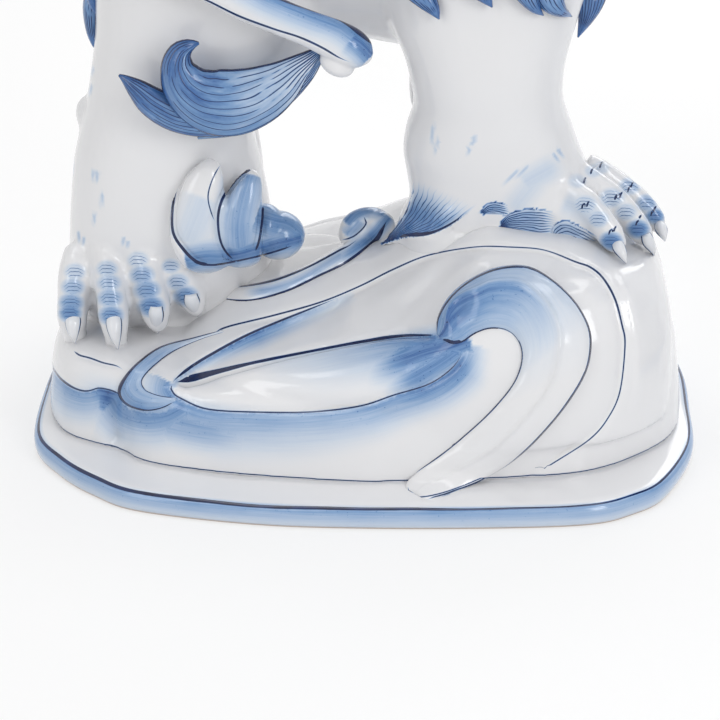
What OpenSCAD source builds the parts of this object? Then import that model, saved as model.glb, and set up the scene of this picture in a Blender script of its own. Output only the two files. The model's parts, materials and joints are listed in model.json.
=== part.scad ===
// A pair of standing faience lions, each on a wave-carved rock and a low plinth.
// The right lion is the left one in a mirror. The feet stand on z = 0, and the
// origin is the middle of the pair's footprint. The lions face outwards from
// the maker's left to the right of each body: the left one faces +X.
// Every section is cast by itself and luted to the next on a seat that fits.

/* [Pair] */
// Clear gap between the two plinths
pair_gap = 130; // [60:5:240]

/* [Plinth] */
// Width of one plinth
plinth_w = 380; // [370:2:400]
// Depth of the plinth before the lion's middle line
plinth_front = 130; // [124:2:140]
// Depth of the plinth behind that line
plinth_back = 170; // [164:2:190]
// Thickness of the plinth with its band and its ledge
plinth_t = 13; // [10:1:18]
// Height of the painted band
band_t = 9; // [6:0.5:9]
// Step from the band in to the ledge
ledge_in = 3; // [1.5:0.5:5]
// Width of the unglazed foot ring
foot_ring_w = 14; // [10:1:20]
// Depth of the hollow inside the foot ring
foot_hollow = 2; // [1:0.5:4]
// Bore of the vent
vent_d = 25; // [16:1:32]

/* [Rock] */
// Ledge left free round the rock
rock_in = 7; // [5:1:12]
// Ledge left free before the rock
rock_front_in = 30; // [24:1:34]
// Height of the low platform over the plinth
rock_t = 47; // [40:1:56]
// Lean of the platform's wall
rock_lean = 7; // [3:1:10]
// Height of the high rock over the low platform
crag_t = 58; // [50:1:66]
// Width of the high rock with its slope
crag_w = 276; // [268:1:280]

/* [Legs] */
// Width of a hind leg below the hip
hind_w = 104; // [96:1:108]
// Width of a fore leg below the shoulder
fore_w = 86; // [78:1:90]
// Place of the hind legs, back from the plinth's middle
hind_back = 116; // [110:1:120]
// Place of the fore legs, ahead of the plinth's middle
fore_ahead = 70; // [64:1:76]
// Distance between the near legs and the far legs
track = 84; // [82:1:90]
// Distance by which the hind legs stand further back from the viewer
stagger = 20; // [12:1:24]
// Height of the cut between the legs and the body over the low platform
hip_t = 145; // [136:1:156]
// Length of a toe
toe_l = 48; // [42:1:52]
// Width of a toe
toe_w = 29; // [26:1:31]

/* [Body] */
// Length of the trunk
body_l = 304; // [296:2:316]
// Width of the trunk at the haunch
body_w = 172; // [164:1:180]
// Height of the trunk at the haunch
body_t = 178; // [170:1:186]
// Rise of the trunk's lowest line over the cut of the legs
belly_rise = 10; // [6:1:14]

/* [Head] */
// Width of the head without the mane
head_w = 132; // [124:1:140]
// Length of the head from the mane to the nose
head_l = 96; // [88:1:104]
// Turn of the head towards the viewer, in degrees
head_turn = 38; // [28:1:48]
// Width of the mane's ruff
mane_w = 214; // [204:1:224]
// Depth of the mane's ruff
mane_l = 118; // [108:1:126]
// Rise of the ruff's centre over the trunk's centre
mane_rise = 132; // [124:1:140]
// Locks round the ruff
locks = 10; // [10:1:15]
// Gape of the mouth, in degrees
gape = 24; // [18:1:28]

/* [Tail] */
// Thickness of the tail
tail_d = 28; // [24:1:32]
// Reach of the tuft over the hind leg
tuft_l = 118; // [108:1:126]

/* [Hidden] */
glaze = "whitesmoke";
wash = "lightsteelblue";
ink = "steelblue";
clay = "linen";
// Overrun of every cut
over = 5;
// Sides of a loft, large and small
sides = 12;
few = 8;
// Squareness of the plinth's and the rock's plan
plan_power = 2.9;

// Share of the high rock's rise under the far fore paw
far_share = 0.78;

rock_z = plinth_t;
low_z = plinth_t + rock_t;
high_z = low_z + crag_t;
far_z = low_z + crag_t * far_share;
hip_z = low_z + hip_t;
near_y = 4;
hind_y = near_y + stagger;
body_y = near_y + track / 2;
body_z = hip_z + belly_rise + body_t / 2;
place_x = pair_gap / 2 + plinth_w / 2;
place_y = (plinth_front - plinth_back) / 2;

// Shapes

function sgn_pow(v, p) = sign(v) * pow(abs(v), p);
function smooth(t) = let (u = max(0, min(1, t))) u * u * (3 - 2 * u);
function mix(a, b, t) = a + (b - a) * t;
// Plan of a rounded block, deeper behind than before
function plan(w, front, back, n = 40, p = plan_power) = [for (i = [0:n - 1])
    let (a = 360 * i / n, c = cos(a), s = sin(a))
    [w / 2 * sgn_pow(c, 2 / p), (s < 0 ? front : back) * sgn_pow(s, 2 / p)]];
// A ring round a centre, square to Z, X or a given heading
function ring_z(c, rx, ry, n = sides) = [for (i = [0:n - 1]) let (a = 360 * i / n)
    c + [rx * cos(a), ry * sin(a), 0]];
function ring_x(c, ry, rz, n = sides) = [for (i = [0:n - 1]) let (a = 360 * i / n)
    c + [0, ry * cos(a), rz * sin(a)]];
function unit(v) = v / norm(v);
// A ring square to the way a path runs, wide across and thin along its lift
function ring_way(c, way, lift, wide, thin, n = few) =
    let (t = unit(way), s = unit(cross(t, lift)), u = cross(s, t))
    [for (i = [0:n - 1]) let (a = -360 * i / n) c + s * wide * cos(a) + u * thin * sin(a)];
// A smooth path through a few points
function spline_at(p, i, t) =
    let (n = len(p) - 1, a = p[max(0, i - 1)], b = p[i], c = p[i + 1], d = p[min(n, i + 2)])
    (2 * b + (c - a) * t + (2 * a - 5 * b + 4 * c - d) * t * t
        + (3 * b - a - 3 * c + d) * t * t * t) / 2;
function spline(p, m) = concat([for (i = [0:len(p) - 2]) for (k = [0:m - 1])
    spline_at(p, i, k / m)], [p[len(p) - 1]]);

// A closed skin over rings of as many points each
module skin(rings) {
    n = len(rings[0]);
    m = len(rings);
    polyhedron([for (r = rings) each r], concat(
        [[for (i = [0:n - 1]) i]],
        [for (k = [0:m - 2]) for (i = [0:n - 1]) each
            let (a = k * n + i, b = k * n + (i + 1) % n, c = a + n, d = b + n)
            [[a, c, b], [b, c, d]]],
        [[for (i = [0:n - 1]) (m - 1) * n + n - 1 - i]]), convexity = 6);
}

// A tapering strand along points that each give a place, a width and a thickness
module strand(knots, lift, m = 3, n = few) {
    path = spline([for (k = knots) k[0]], m);
    wide = spline([for (k = knots) [k[1], k[2]]], m);
    last = len(path) - 1;
    skin([for (i = [0:last])
        ring_way(path[i], path[min(last, i + 1)] - path[max(0, i - 1)], lift,
            wide[i][0], wide[i][1], n)]);
}

// One mesh of what it holds
module cast() {
    minkowski() union() children();
}

// Plinth with its band, ledge, foot ring and vent
module plinth() {
    difference() {
        union() {
            linear_extrude(band_t) polygon(plan(plinth_w, plinth_front, plinth_back));
            linear_extrude(plinth_t) polygon(plan(plinth_w - 2 * ledge_in,
                plinth_front - ledge_in, plinth_back - ledge_in));
        }
        translate([0, 0, -over]) linear_extrude(over + foot_hollow)
            polygon(plan(plinth_w - 2 * foot_ring_w, plinth_front - foot_ring_w,
                plinth_back - foot_ring_w));
        translate([0, 0, -over]) cylinder(d = vent_d, h = plinth_t + 2 * over, $fn = 24);
    }
}

rock_w = plinth_w - 2 * rock_in;
rock_front = plinth_front - rock_front_in;
rock_back = plinth_back - rock_in;
// Height and lean of the low rock's wall
rock_shares = [[0, 0], [0.45, 0.2], [0.82, 0.55], [1, 1]];
// Low rock, a battered block
module rock() {
    skin([for (s = rock_shares) let (lean = rock_lean * s[1])
        [for (q = plan(rock_w - 2 * lean, rock_front - lean, rock_back - lean, 36))
            [q[0], q[1], rock_z + rock_t * s[0]]]]);
}

crag_mid = rock_w / 2 - rock_lean - crag_w / 2;
// Steps of the high rock along its width: share of the rise that each adds, where it
// starts from the left end and how long it is
slope_shares = [[0.32, -0.2, 0.15], [0.3, 0, 0.18], [0.38, 0.29, 0.2]];
// Share of the rise at the front edge, where the slope is open to the front
front_share = 0.42;
function crag_rise(x, y) = let (u = (x - crag_mid) / crag_w + 0.5,
    open = max(smooth((y + rock_front * 0.62) / (rock_front * 0.7)), smooth((u - 0.43) * 5)))
    sum([for (s = slope_shares) s[0] * smooth((u - s[1]) / s[2])]) * mix(front_share, 1, open)
    * mix(1, far_share, smooth((y - near_y - fore_w * 0.46) / (fore_w * 0.12)));
function sum(v, i = 0) = i == len(v) ? 0 : v[i] + sum(v, i + 1);
// Width share and height share of the rings of the high rock, from its foot up
crag_shares = [[1, 0], [0.975, 0.36], [0.92, 0.63], [0.83, 0.84], [0.68, 1], [0.4, 1],
    [0.08, 1]];
// The rings close in on a point near the steep end
crag_pull = 0.52;
// High rock under the fore feet, sloping down to the hind feet
module crag() {
    skin([for (s = crag_shares)
        [for (q = plan(crag_w * s[0], (rock_front - rock_lean) * s[0],
                (rock_back - rock_lean) * s[0], 28))
            let (x = crag_mid + q[0] + crag_pull * crag_w / 2 * (1 - s[0]))
            [x, q[1], low_z + crag_t * s[1] * crag_rise(x, q[1])]]]);
}

// Legs

// Height, forward lean, width and depth of a leg, as shares, from the ankle up
hind_shares = [[0.05, -0.13, 0.94, 0.76], [0.2, -0.08, 0.98, 0.88], [0.42, -0.02, 0.98, 0.92],
    [0.64, 0.02, 0.97, 0.9], [0.84, 0.04, 0.93, 0.9], [1, 0.06, 0.92, 0.92]];
fore_shares = [[0.08, -0.04, 1.14, 0.94], [0.36, 0.03, 1.1, 0.94], [0.68, 0.02, 1.03, 0.94],
    [1, 0, 0.99, 0.96]];

module leg_bar(h, w, shares) {
    skin(concat([ring_z([shares[0][1] * w, 0, 0], w * shares[0][2] / 2, w * shares[0][3] / 2)],
        [for (s = shares) ring_z([w * s[1], 0, h * s[0]], w * s[2] / 2, w * s[3] / 2)]));
}

// Profile of a toe: way along, height of its middle, half width and half height
toe_shares = [[-0.4, 1.05, 0.36, 0.5], [0.1, 0.9, 0.5, 0.68], [0.6, 0.66, 0.52, 0.6],
    [0.94, 0.46, 0.3, 0.34]];
claw_shares = [[0.8, 0.48, 0.2, 0.22], [1.24, 0.04, 0.04, 0.04]];
module toe() {
    skin([for (s = toe_shares) ring_x([toe_l * s[0], 0, toe_w * s[1]], toe_w * s[2],
        toe_w * s[3], 6)]);
    skin([for (s = claw_shares) ring_x([toe_l * s[0], 0, toe_w * s[1]], toe_w * s[2],
        toe_w * s[3], 4)]);
}

// Way along, height, half width and half height of the paw behind the toes
paw_shares = [[-0.5, 0.16, 0.3, 0.2], [-0.1, 0.22, 0.44, 0.34], [0.36, 0.2, 0.46, 0.34],
    [0.62, 0.12, 0.38, 0.24]];
// Heading of each toe of a near paw, and its reach from the leg's middle
hind_toe_shares = [[-118, 0.68], [-96, 0.66], [-72, 0.58], [-46, 0.5]];
fore_toe_shares = [[-22, 0.95], [-9, 1.09], [4, 1.16], [17, 1.12]];
module paw(w, toes) {
    reach = toes[1][1] * w;
    rotate([0, 0, (toes[1][0] + toes[2][0]) / 2])
        skin([for (s = paw_shares) ring_x([reach * s[0], 0, w * s[1]], w * s[2], w * s[3], few)]);
    for (t = toes) rotate([0, 0, t[0]])
        translate([w * t[1] - toe_l * claw_shares[1][0], 0, 0]) toe();
}

// A leg on its own feet, cut flat at the sole and at the hip
module leg(h, w, shares, toes, turn) {
    difference() {
        union() {
            leg_bar(h, w, shares);
            translate([w * shares[0][1], 0, 0]) rotate([0, 0, turn]) paw(w, toes);
        }
        translate([-2 * w, -2 * w, -over - w]) cube([4 * w, 4 * w, over + w]);
    }
}

// The far hind paw turns a little further round. The far fore leg stands back, and its
// shorter paw is turned well out
far_turn = 12;
far_fore_turn = 64;
far_reach = 0.78;
fore_lag = fore_w * 0.1;
// The hind legs are luted to each other on the plane halfway between them
module hind_leg(far) {
    cast() difference() {
        translate([-hind_back, hind_y + far * track, low_z])
            leg(hip_t, hind_w, hind_shares, hind_toe_shares, far * far_turn);
        crag();
        translate([-plinth_w, hind_y + track / 2 - far * 2 * plinth_w, -plinth_w])
            cube(2 * plinth_w);
    }
}
module fore_leg(far) {
    z = far > 0 ? far_z : high_z;
    cast() difference() {
        translate([fore_ahead - far * fore_lag, near_y + far * track, z])
            leg(hip_z - z, fore_w, fore_shares,
                [for (t = fore_toe_shares) [t[0], t[1] * mix(1, far_reach, far)]],
                far * far_fore_turn);
        crag();
    }
}

// Trunk

// Way along, rise of the middle, width and height of the trunk
body_shares = [[-0.5, 0.1, 0.16, 0.2], [-0.475, 0.09, 0.52, 0.5], [-0.42, 0.06, 0.82, 0.8],
    [-0.31, 0.03, 1, 1], [-0.16, 0, 0.95, 0.96], [0, -0.01, 0.9, 0.92], [0.14, 0, 0.96, 0.98],
    [0.28, 0.05, 1, 1.06], [0.4, 0.09, 0.84, 0.94], [0.47, 0.12, 0.55, 0.66],
    [0.5, 0.14, 0.2, 0.26]];
body_x = (fore_ahead - hind_back) / 2 + body_l * 0.03;
// The trunk's middle line runs from between the hind legs to between the fore legs
function mid_y(s) = body_y + stagger * smooth(0.5 - s);
module trunk() {
    skin([for (s = body_shares)
        ring_x([body_x + body_l * s[0], mid_y(s[0]), body_z + body_t * s[1]],
            body_w * s[2] / 2, body_t * s[3] / 2, 14)]);
}
// The root of a leg, from the hip's cut up into the trunk: rise, width and way inwards
root_shares = [[0, 1, 0], [0.12, 1.07, 0.04], [0.3, 1.14, 0.14], [0.52, 1.02, 0.3],
    [0.74, 0.6, 0.5]];
module leg_root(x, y, middle, w, shares) {
    top = shares[len(shares) - 1];
    skin([for (s = root_shares) ring_z([x + w * top[1], mix(y, middle, s[2]),
        hip_z + body_t * s[0]], w * top[2] / 2 * s[1], w * top[3] / 2 * s[1])]);
}
module trunk_form() {
    trunk();
    for (far = [0, 1]) {
        leg_root(-hind_back, hind_y + far * track, hind_y + track / 2, hind_w, hind_shares);
        leg_root(fore_ahead - far * fore_lag, near_y + far * track, body_y, fore_w, fore_shares);
    }
}
seam_x = body_x - body_l * 0.02;
module haunch() {
    cast() intersection() {
        trunk_form();
        translate([seam_x - 2 * body_l, body_y - body_l, 0]) cube(2 * body_l);
    }
}
module chest() {
    cast() intersection() {
        trunk_form();
        translate([seam_x, body_y - body_l, 0]) cube(2 * body_l);
    }
}

// Head and mane

mane_x = body_x + body_l * 0.336;
mane_z = body_z + mane_rise;
// Places a piece of the head: the ruff's centre, turned to the viewer
module on_head() {
    translate([mane_x, body_y, mane_z]) rotate([0, 0, -head_turn]) children();
}
// Way along, radius and depth of the locks of the ruff. Four rows of tips stand out, one
// behind the other, and a row with a minus sign has its locks between those of the next
mane_shares = [[-0.6, 0.2, 0], [-0.54, 0.66, -0.1], [-0.48, 0.64, 0], [-0.4, 0.92, 0.11],
    [-0.32, 0.8, 0], [-0.22, 0.98, -0.11], [-0.12, 0.9, 0], [-0.02, 1, 0.11],
    [0.2, 0.95, 0.05], [0.42, 0.86, 0.05], [0.5, 0.66, 0]];
lock_sides = 2 * locks;
function lobed_x(c, r, deep) = [for (i = [0:lock_sides - 1])
    let (a = 360 * i / lock_sides, f = r * (1 + deep * cos(locks * a)))
    c + [0, f * cos(a), f * sin(a) * (sin(a) < 0 ? 1.12 : 1)]];
module mane_form() {
    on_head() skin([for (s = mane_shares)
        lobed_x([mane_l * s[0], 0, 0], mane_w / 2 * s[1], s[2])]);
}
module mane() {
    cast() difference() {
        mane_form();
        trunk_form();
    }
}

// The bib of locks down the chest
bib_locks = 8;
bib_shares = [[-1, 0.86, 0.66], [-0.82, 1.04, 0.94], [-0.5, 1.15, 1.1], [0, 1.15, 1.12],
    [0.15, 0.9, 0.96]];
bib_x = body_x + body_l * 0.33;
bib_t = body_t * 0.98;
module bib_form() {
    skin([for (s = bib_shares) [for (i = [0:2 * bib_locks - 1]) let (a = 180 * i / bib_locks,
        f = 1 + 0.06 * cos(bib_locks * a) * (s[0] < -0.4 ? 1 : 0.4))
        [bib_x + body_l * 0.19 * s[2] * f * cos(a), body_y + body_w * 0.49 * s[1] * f * sin(a),
            body_z + bib_t * (0.42 + s[0] * 0.72)]]]);
}
module bib() {
    cast() difference() {
        bib_form();
        trunk_form();
        mane_form();
    }
}

face_x = mane_l * 0.5;
// Way along, drop, width and height of the skull and the muzzle
head_shares = [[0, 0.02, 0.98, 0.96], [0.22, 0.04, 1, 0.94], [0.42, 0.03, 0.86, 0.8],
    [0.58, -0.05, 0.66, 0.58], [0.8, -0.09, 0.58, 0.46], [0.94, -0.09, 0.46, 0.34],
    [0.98, -0.09, 0.3, 0.2]];
jaw_shares = [[0, -0.04, 0.66, 0.4], [0.3, -0.04, 0.6, 0.36], [0.58, -0.02, 0.5, 0.32],
    [0.78, 0.01, 0.36, 0.26], [0.86, 0.04, 0.2, 0.14]];
eye_share = 0.1;
// A brow from the nose's root over the eye to the temple: place and thickness
brow_shares = [[0.74, 0.07, 0.07, 0.03], [0.64, 0.12, 0.17, 0.065], [0.56, 0.22, 0.27, 0.075],
    [0.41, 0.36, 0.3, 0.06], [0.22, 0.47, 0.2, 0.03]];
// A whisker pad beside the nose: way along, and its radius
pad_shares = [[0.56, 0.05], [0.68, 0.13], [0.86, 0.16], [1.0, 0.11], [1.04, 0.03]];
nose_shares = [[0.6, 0.06, 0.03], [0.8, 0.1, 0.07], [0.98, 0.15, 0.09], [1.07, 0.12, 0.06],
    [1.09, 0.05, 0.03]];
module skull() {
    skin([for (s = head_shares) ring_x([head_l * s[0], 0, head_w * s[1]],
        head_w * s[2] / 2, head_w * s[3] / 2)]);
    skin([for (s = nose_shares) ring_x([head_l * s[0], 0, head_w * 0.08], head_w * s[1],
        head_w * s[2], 6)]);
    for (m = [-1, 1]) {
        strand([for (s = brow_shares) [[head_l * s[0], m * head_w * s[1], head_w * s[2]],
            head_w * s[3], head_w * s[3]]], [0, 0, 1], 1, 6);
        translate([head_l * 0.5, m * head_w * 0.2, head_w * 0.13])
            sphere(head_w * eye_share, $fn = few);
        skin([for (s = pad_shares) ring_x([head_l * s[0], m * head_w * 0.135, head_w * -0.145],
            head_w * s[1], head_w * s[1], 8)]);
    }
}
// Turns what is ahead of the face's plane by a share of the gape, up or down
module at_mouth(share, drop) {
    translate([face_x, 0, head_w * drop]) rotate([0, gape * share, 0]) children();
}
upper_share = -0.28;
lower_share = 0.5;
upper_drop_share = -0.27;
jaw_drop_share = -0.42;
module ahead() {
    intersection() {
        translate([face_x, -head_w, -head_w]) cube(2 * head_w);
        children();
    }
}
module head() {
    cast() on_head() difference() {
        ahead() translate([face_x, 0, 0]) skull();
        at_mouth(upper_share, upper_drop_share) translate([-over, -head_w, -head_w])
            cube([2 * head_l, 2 * head_w, head_w]);
    }
}
// The lower jaw, flat on top, with the tongue lying on it
jaw_top = head_w * 0.1;
tongue_shares = [[-0.1, 0.17, 0.04], [0.36, 0.19, 0.06], [0.6, 0.14, 0.05], [0.7, 0.05, 0.02]];
module jaw_form() {
    difference() {
        skin([for (s = jaw_shares) ring_x([head_l * s[0] - over, 0, head_w * s[1]],
            head_w * s[2] / 2, head_w * s[3] / 2, few)]);
        translate([-head_w, -head_w, jaw_top]) cube(2 * head_w);
    }
}
module jaw() {
    cast() difference() {
        on_head() ahead() at_mouth(lower_share, jaw_drop_share) jaw_form();
        bib_form();
    }
}
module tongue() {
    cast() difference() {
        on_head() ahead() at_mouth(lower_share, jaw_drop_share) difference() {
            skin([for (s = tongue_shares) ring_x([head_l * s[0], 0, jaw_top], head_w * s[1],
                head_w * s[2], 8)]);
            translate([-head_w, -head_w, jaw_top - 2 * head_w]) cube(2 * head_w);
        }
        bib_form();
    }
}
// Width and height of an ear, from the root to the tip
ear_shares = [[0, 0.8, 0.5], [0.3, 1, 0.5], [0.7, 0.86, 0.4], [1, 0.3, 0.16]];
ear_w = mane_w * 0.19;
module ear(m) {
    cast() difference() {
        on_head() translate([mane_l * 0.3, 0, 0]) rotate([-m * 42, 0, 0])
            translate([0, 0, mane_w * 0.44]) skin([for (s = ear_shares)
                ring_z([-ear_w * s[0] * 0.2, 0, ear_w * s[0] * 1.1], ear_w * s[2] / 2,
                    ear_w * s[1] / 2, 6)]);
        mane_form();
    }
}

// Tail: along the near flank to the belly, with a flame-shaped tuft turned back
tail_r = tail_d / 2;
// Way along the trunk, way out from its middle line (1 is the flank), rise and thickness
tail_shares = [[-0.45, 0, 0.26, 1.1], [-0.53, 0.3, 0.2, 1.1], [-0.52, 0.72, 0.1, 1.1],
    [-0.42, 1.02, 0, 1.05], [-0.27, 1.12, -0.14, 1], [-0.14, 1.1, -0.26, 0.92],
    [-0.05, 1.06, -0.31, 0.86], [0.02, 1.02, -0.37, 0.8], [0.06, 0.96, -0.42, 0.5]];
function by_flank(s) = [body_x + body_l * s[0], mid_y(s[0]) - body_w / 2 * s[1],
    body_z + body_t * s[2]];
tail_knots = [for (s = tail_shares) [by_flank(s), tail_r * s[3], tail_r * s[3]]];
module tail_form() {
    strand(tail_knots, [0, 0, 1], 1, 8);
}
module tail() {
    cast() difference() {
        tail_form();
        trunk_form();
    }
}
tuft_root = by_flank([-0.02, 1.06, -0.42]);
// Sideways, outward and upward reach, width and thickness of each flame of the tuft
flame_shares = [
    [[0.08, 0.01, 0.02, 0.05, 0.07], [-0.2, 0.02, -0.13, 0.11, 0.12],
        [-0.4, 0.03, -0.2, 0.13, 0.13], [-0.57, 0.04, -0.18, 0.13, 0.12],
        [-0.66, 0.05, -0.06, 0.09, 0.1], [-0.67, 0.05, 0.06, 0.06, 0.07],
        [-0.59, 0.05, 0.13, 0.015, 0.02]],
    [[-0.2, 0, -0.2, 0.05, 0.08], [-0.41, 0.01, -0.29, 0.08, 0.1],
        [-0.6, 0.01, -0.29, 0.09, 0.1], [-0.77, 0.01, -0.21, 0.07, 0.08],
        [-0.88, 0.01, -0.12, 0.04, 0.06], [-0.97, 0.01, -0.06, 0.01, 0.02]]];
module tuft_form() {
    for (f = flame_shares)
        strand([for (s = f) [tuft_root + tuft_l * [s[0], -s[1], s[2]],
            tuft_l * s[4], tuft_l * s[3]]], [0, 0, 1], 1, 6);
}
module near_hind_form() {
    translate([-hind_back, hind_y, low_z]) leg_bar(hip_t, hind_w, hind_shares);
}
module tuft() {
    cast() difference() {
        tuft_form();
        trunk_form();
        near_hind_form();
        tail_form();
    }
}

// Waves and foam on the rock

crest_w = crag_w * 0.075;
// Places on the rock, as shares of its half width, front depth and height, and thickness
crest_shares = [[0.27, -0.74, 0.8, 0.35], [0.34, -0.64, 0.9, 0.65], [0.44, -0.59, 0.91, 0.85],
    [0.54, -0.63, 0.85, 0.98], [0.6, -0.78, 0.72, 1.05], [0.57, -0.9, 0.54, 1.02],
    [0.5, -0.94, 0.37, 0.92], [0.41, -0.97, 0.21, 0.75], [0.27, -1.02, 0.05, 0.4]];
function on_front(s) = [rock_w / 2 * s[0], rock_front * s[1], rock_z + (rock_t + crag_t) * s[2]];
function wave(shares) = [for (s = shares) [on_front(s), crest_w * s[3] * 0.6, crest_w * s[3]]];
module crest() {
    cast() difference() {
        strand(wave(crest_shares), [0, 0, 1], 1, 6);
        rock();
        crag();
        translate([-plinth_w, -plinth_w, 0]) cube([2 * plinth_w, 2 * plinth_w, rock_z]);
    }
}
scroll_shares = [[-0.5, -0.28, 0.46, 0.15], [-0.59, -0.46, 0.47, 0.3], [-0.64, -0.66, 0.46, 0.42],
    [-0.66, -0.84, 0.44, 0.45], [-0.64, -0.94, 0.4, 0.42], [-0.57, -0.96, 0.38, 0.35],
    [-0.5, -0.95, 0.4, 0.15]];
module scroll() {
    cast() difference() {
        strand(wave(scroll_shares), [0, 0, 1], 1, 6);
        rock();
        crag();
        near_hind_form();
    }
}
// Locks at the heel of the hind leg: way right and out from the leg, rise, width, height
petal_shares = [[0.22, -0.4, 0.3, 0.38, 0.5], [0.47, -0.26, 0.28, 0.34, 0.46],
    [0.66, -0.1, 0.28, 0.34, 0.26]];
lock_shares = [[0, 0.5], [0.12, 0.85], [0.4, 1], [0.7, 0.72], [0.92, 0.34], [1, 0.08]];
module petals() {
    cast() difference() {
        for (s = petal_shares)
            skin([for (r = lock_shares)
                ring_z([-hind_back + hind_w * (s[0] - 0.12 * r[0] * r[0]),
                    hind_y + hind_w * s[1], low_z + hip_t * (s[2] - 0.06 + s[4] * r[0])],
                    hind_w * s[3] / 2 * r[1], hind_w * 0.16 * r[1], 6)]);
        rock();
        crag();
        near_hind_form();
    }
}
// Ridge from the hind foot up to a curl of spray beside the fore leg
// Way along the high rock from its middle, way back, rise over its slope and thickness
cloud_shares = [[-0.43, 0.04, 0, 0.3], [-0.37, 0.01, 0, 0.4], [-0.29, 0.01, 0.02, 0.5],
    [-0.217, 0.05, 0.08, 0.6], [-0.171, 0.13, 0.23, 0.7], [-0.138, 0.22, 0.47, 0.75],
    [-0.144, 0.3, 1.08, 0.6], [-0.171, 0.29, 1.13, 0.4], [-0.184, 0.25, 0.79, 0.2]];
module cloud() {
    cast() difference() {
        strand([for (s = cloud_shares) let (x = crag_mid + crag_w * s[0], y = rock_back * s[1])
            [[x, y, low_z + crag_t * crag_rise(x, y) + crest_w * s[2]],
                crest_w * s[3] * 0.8, crest_w * s[3] * 0.6]], [0, 0, 1], 1, 6);
        petals();
        crag();
        hind_leg(0);
        fore_leg(0);
    }
}

// The two lions

module left() {
    translate([-place_x, place_y, 0]) children();
}
module right() {
    mirror([1, 0, 0]) left() children();
}

module left_plinth() { color(clay) left() plinth(); }
module left_rock() { color(glaze) left() rock(); }
module left_crag() { color(glaze) left() crag(); }
module left_crest() { color(wash) left() crest(); }
module left_scroll() { color(wash) left() scroll(); }
module left_petals() { color(wash) left() petals(); }
module left_cloud() { color(ink) left() cloud(); }
module left_near_hind_leg() { color(glaze) left() hind_leg(0); }
module left_far_hind_leg() { color(glaze) left() hind_leg(1); }
module left_near_fore_leg() { color(glaze) left() fore_leg(0); }
module left_far_fore_leg() { color(glaze) left() fore_leg(1); }
module left_haunch() { color(glaze) left() haunch(); }
module left_chest() { color(glaze) left() chest(); }
module left_bib() { color(wash) left() bib(); }
module left_mane() { color(ink) left() mane(); }
module left_head() { color(glaze) left() head(); }
module left_jaw() { color(glaze) left() jaw(); }
module left_tongue() { color(wash) left() tongue(); }
module left_near_ear() { color(glaze) left() ear(-1); }
module left_far_ear() { color(glaze) left() ear(1); }
module left_tail() { color(wash) left() tail(); }
module left_tuft() { color(ink) left() tuft(); }

module right_plinth() { color(clay) right() plinth(); }
module right_rock() { color(glaze) right() rock(); }
module right_crag() { color(glaze) right() crag(); }
module right_crest() { color(wash) right() crest(); }
module right_scroll() { color(wash) right() scroll(); }
module right_petals() { color(wash) right() petals(); }
module right_cloud() { color(ink) right() cloud(); }
module right_near_hind_leg() { color(glaze) right() hind_leg(0); }
module right_far_hind_leg() { color(glaze) right() hind_leg(1); }
module right_near_fore_leg() { color(glaze) right() fore_leg(0); }
module right_far_fore_leg() { color(glaze) right() fore_leg(1); }
module right_haunch() { color(glaze) right() haunch(); }
module right_chest() { color(glaze) right() chest(); }
module right_bib() { color(wash) right() bib(); }
module right_mane() { color(ink) right() mane(); }
module right_head() { color(glaze) right() head(); }
module right_jaw() { color(glaze) right() jaw(); }
module right_tongue() { color(wash) right() tongue(); }
module right_near_ear() { color(glaze) right() ear(-1); }
module right_far_ear() { color(glaze) right() ear(1); }
module right_tail() { color(wash) right() tail(); }
module right_tuft() { color(ink) right() tuft(); }

left_plinth();
left_rock();
left_crag();
left_crest();
left_scroll();
left_petals();
left_cloud();
left_near_hind_leg();
left_far_hind_leg();
left_near_fore_leg();
left_far_fore_leg();
left_haunch();
left_chest();
left_bib();
left_mane();
left_head();
left_jaw();
left_tongue();
left_near_ear();
left_far_ear();
left_tail();
left_tuft();
right_plinth();
right_rock();
right_crag();
right_crest();
right_scroll();
right_petals();
right_cloud();
right_near_hind_leg();
right_far_hind_leg();
right_near_fore_leg();
right_far_fore_leg();
right_haunch();
right_chest();
right_bib();
right_mane();
right_head();
right_jaw();
right_tongue();
right_near_ear();
right_far_ear();
right_tail();
right_tuft();
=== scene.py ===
# %% [markdown]
# # A pair of faience lions
# The real thing is a large figure in tin-glazed earthenware. It is cast in plaster moulds, its
# sections are luted together with slip, and a painter washes and outlines the raw glaze in
# cobalt blue before the last firing. This notebook builds the left lion piece by piece, paints
# it, and mirrors it for its twin. All lengths below are millimetres in the lion's own frame:
# x = 0 is the middle of the plinth, the viewer stands on the side of -y, and the shelf is z = 0.

import contextlib
import json
import math

import bmesh
import bpy
import numpy as np
from mathutils import Matrix, Vector
from mathutils.bvhtree import BVHTree

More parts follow.
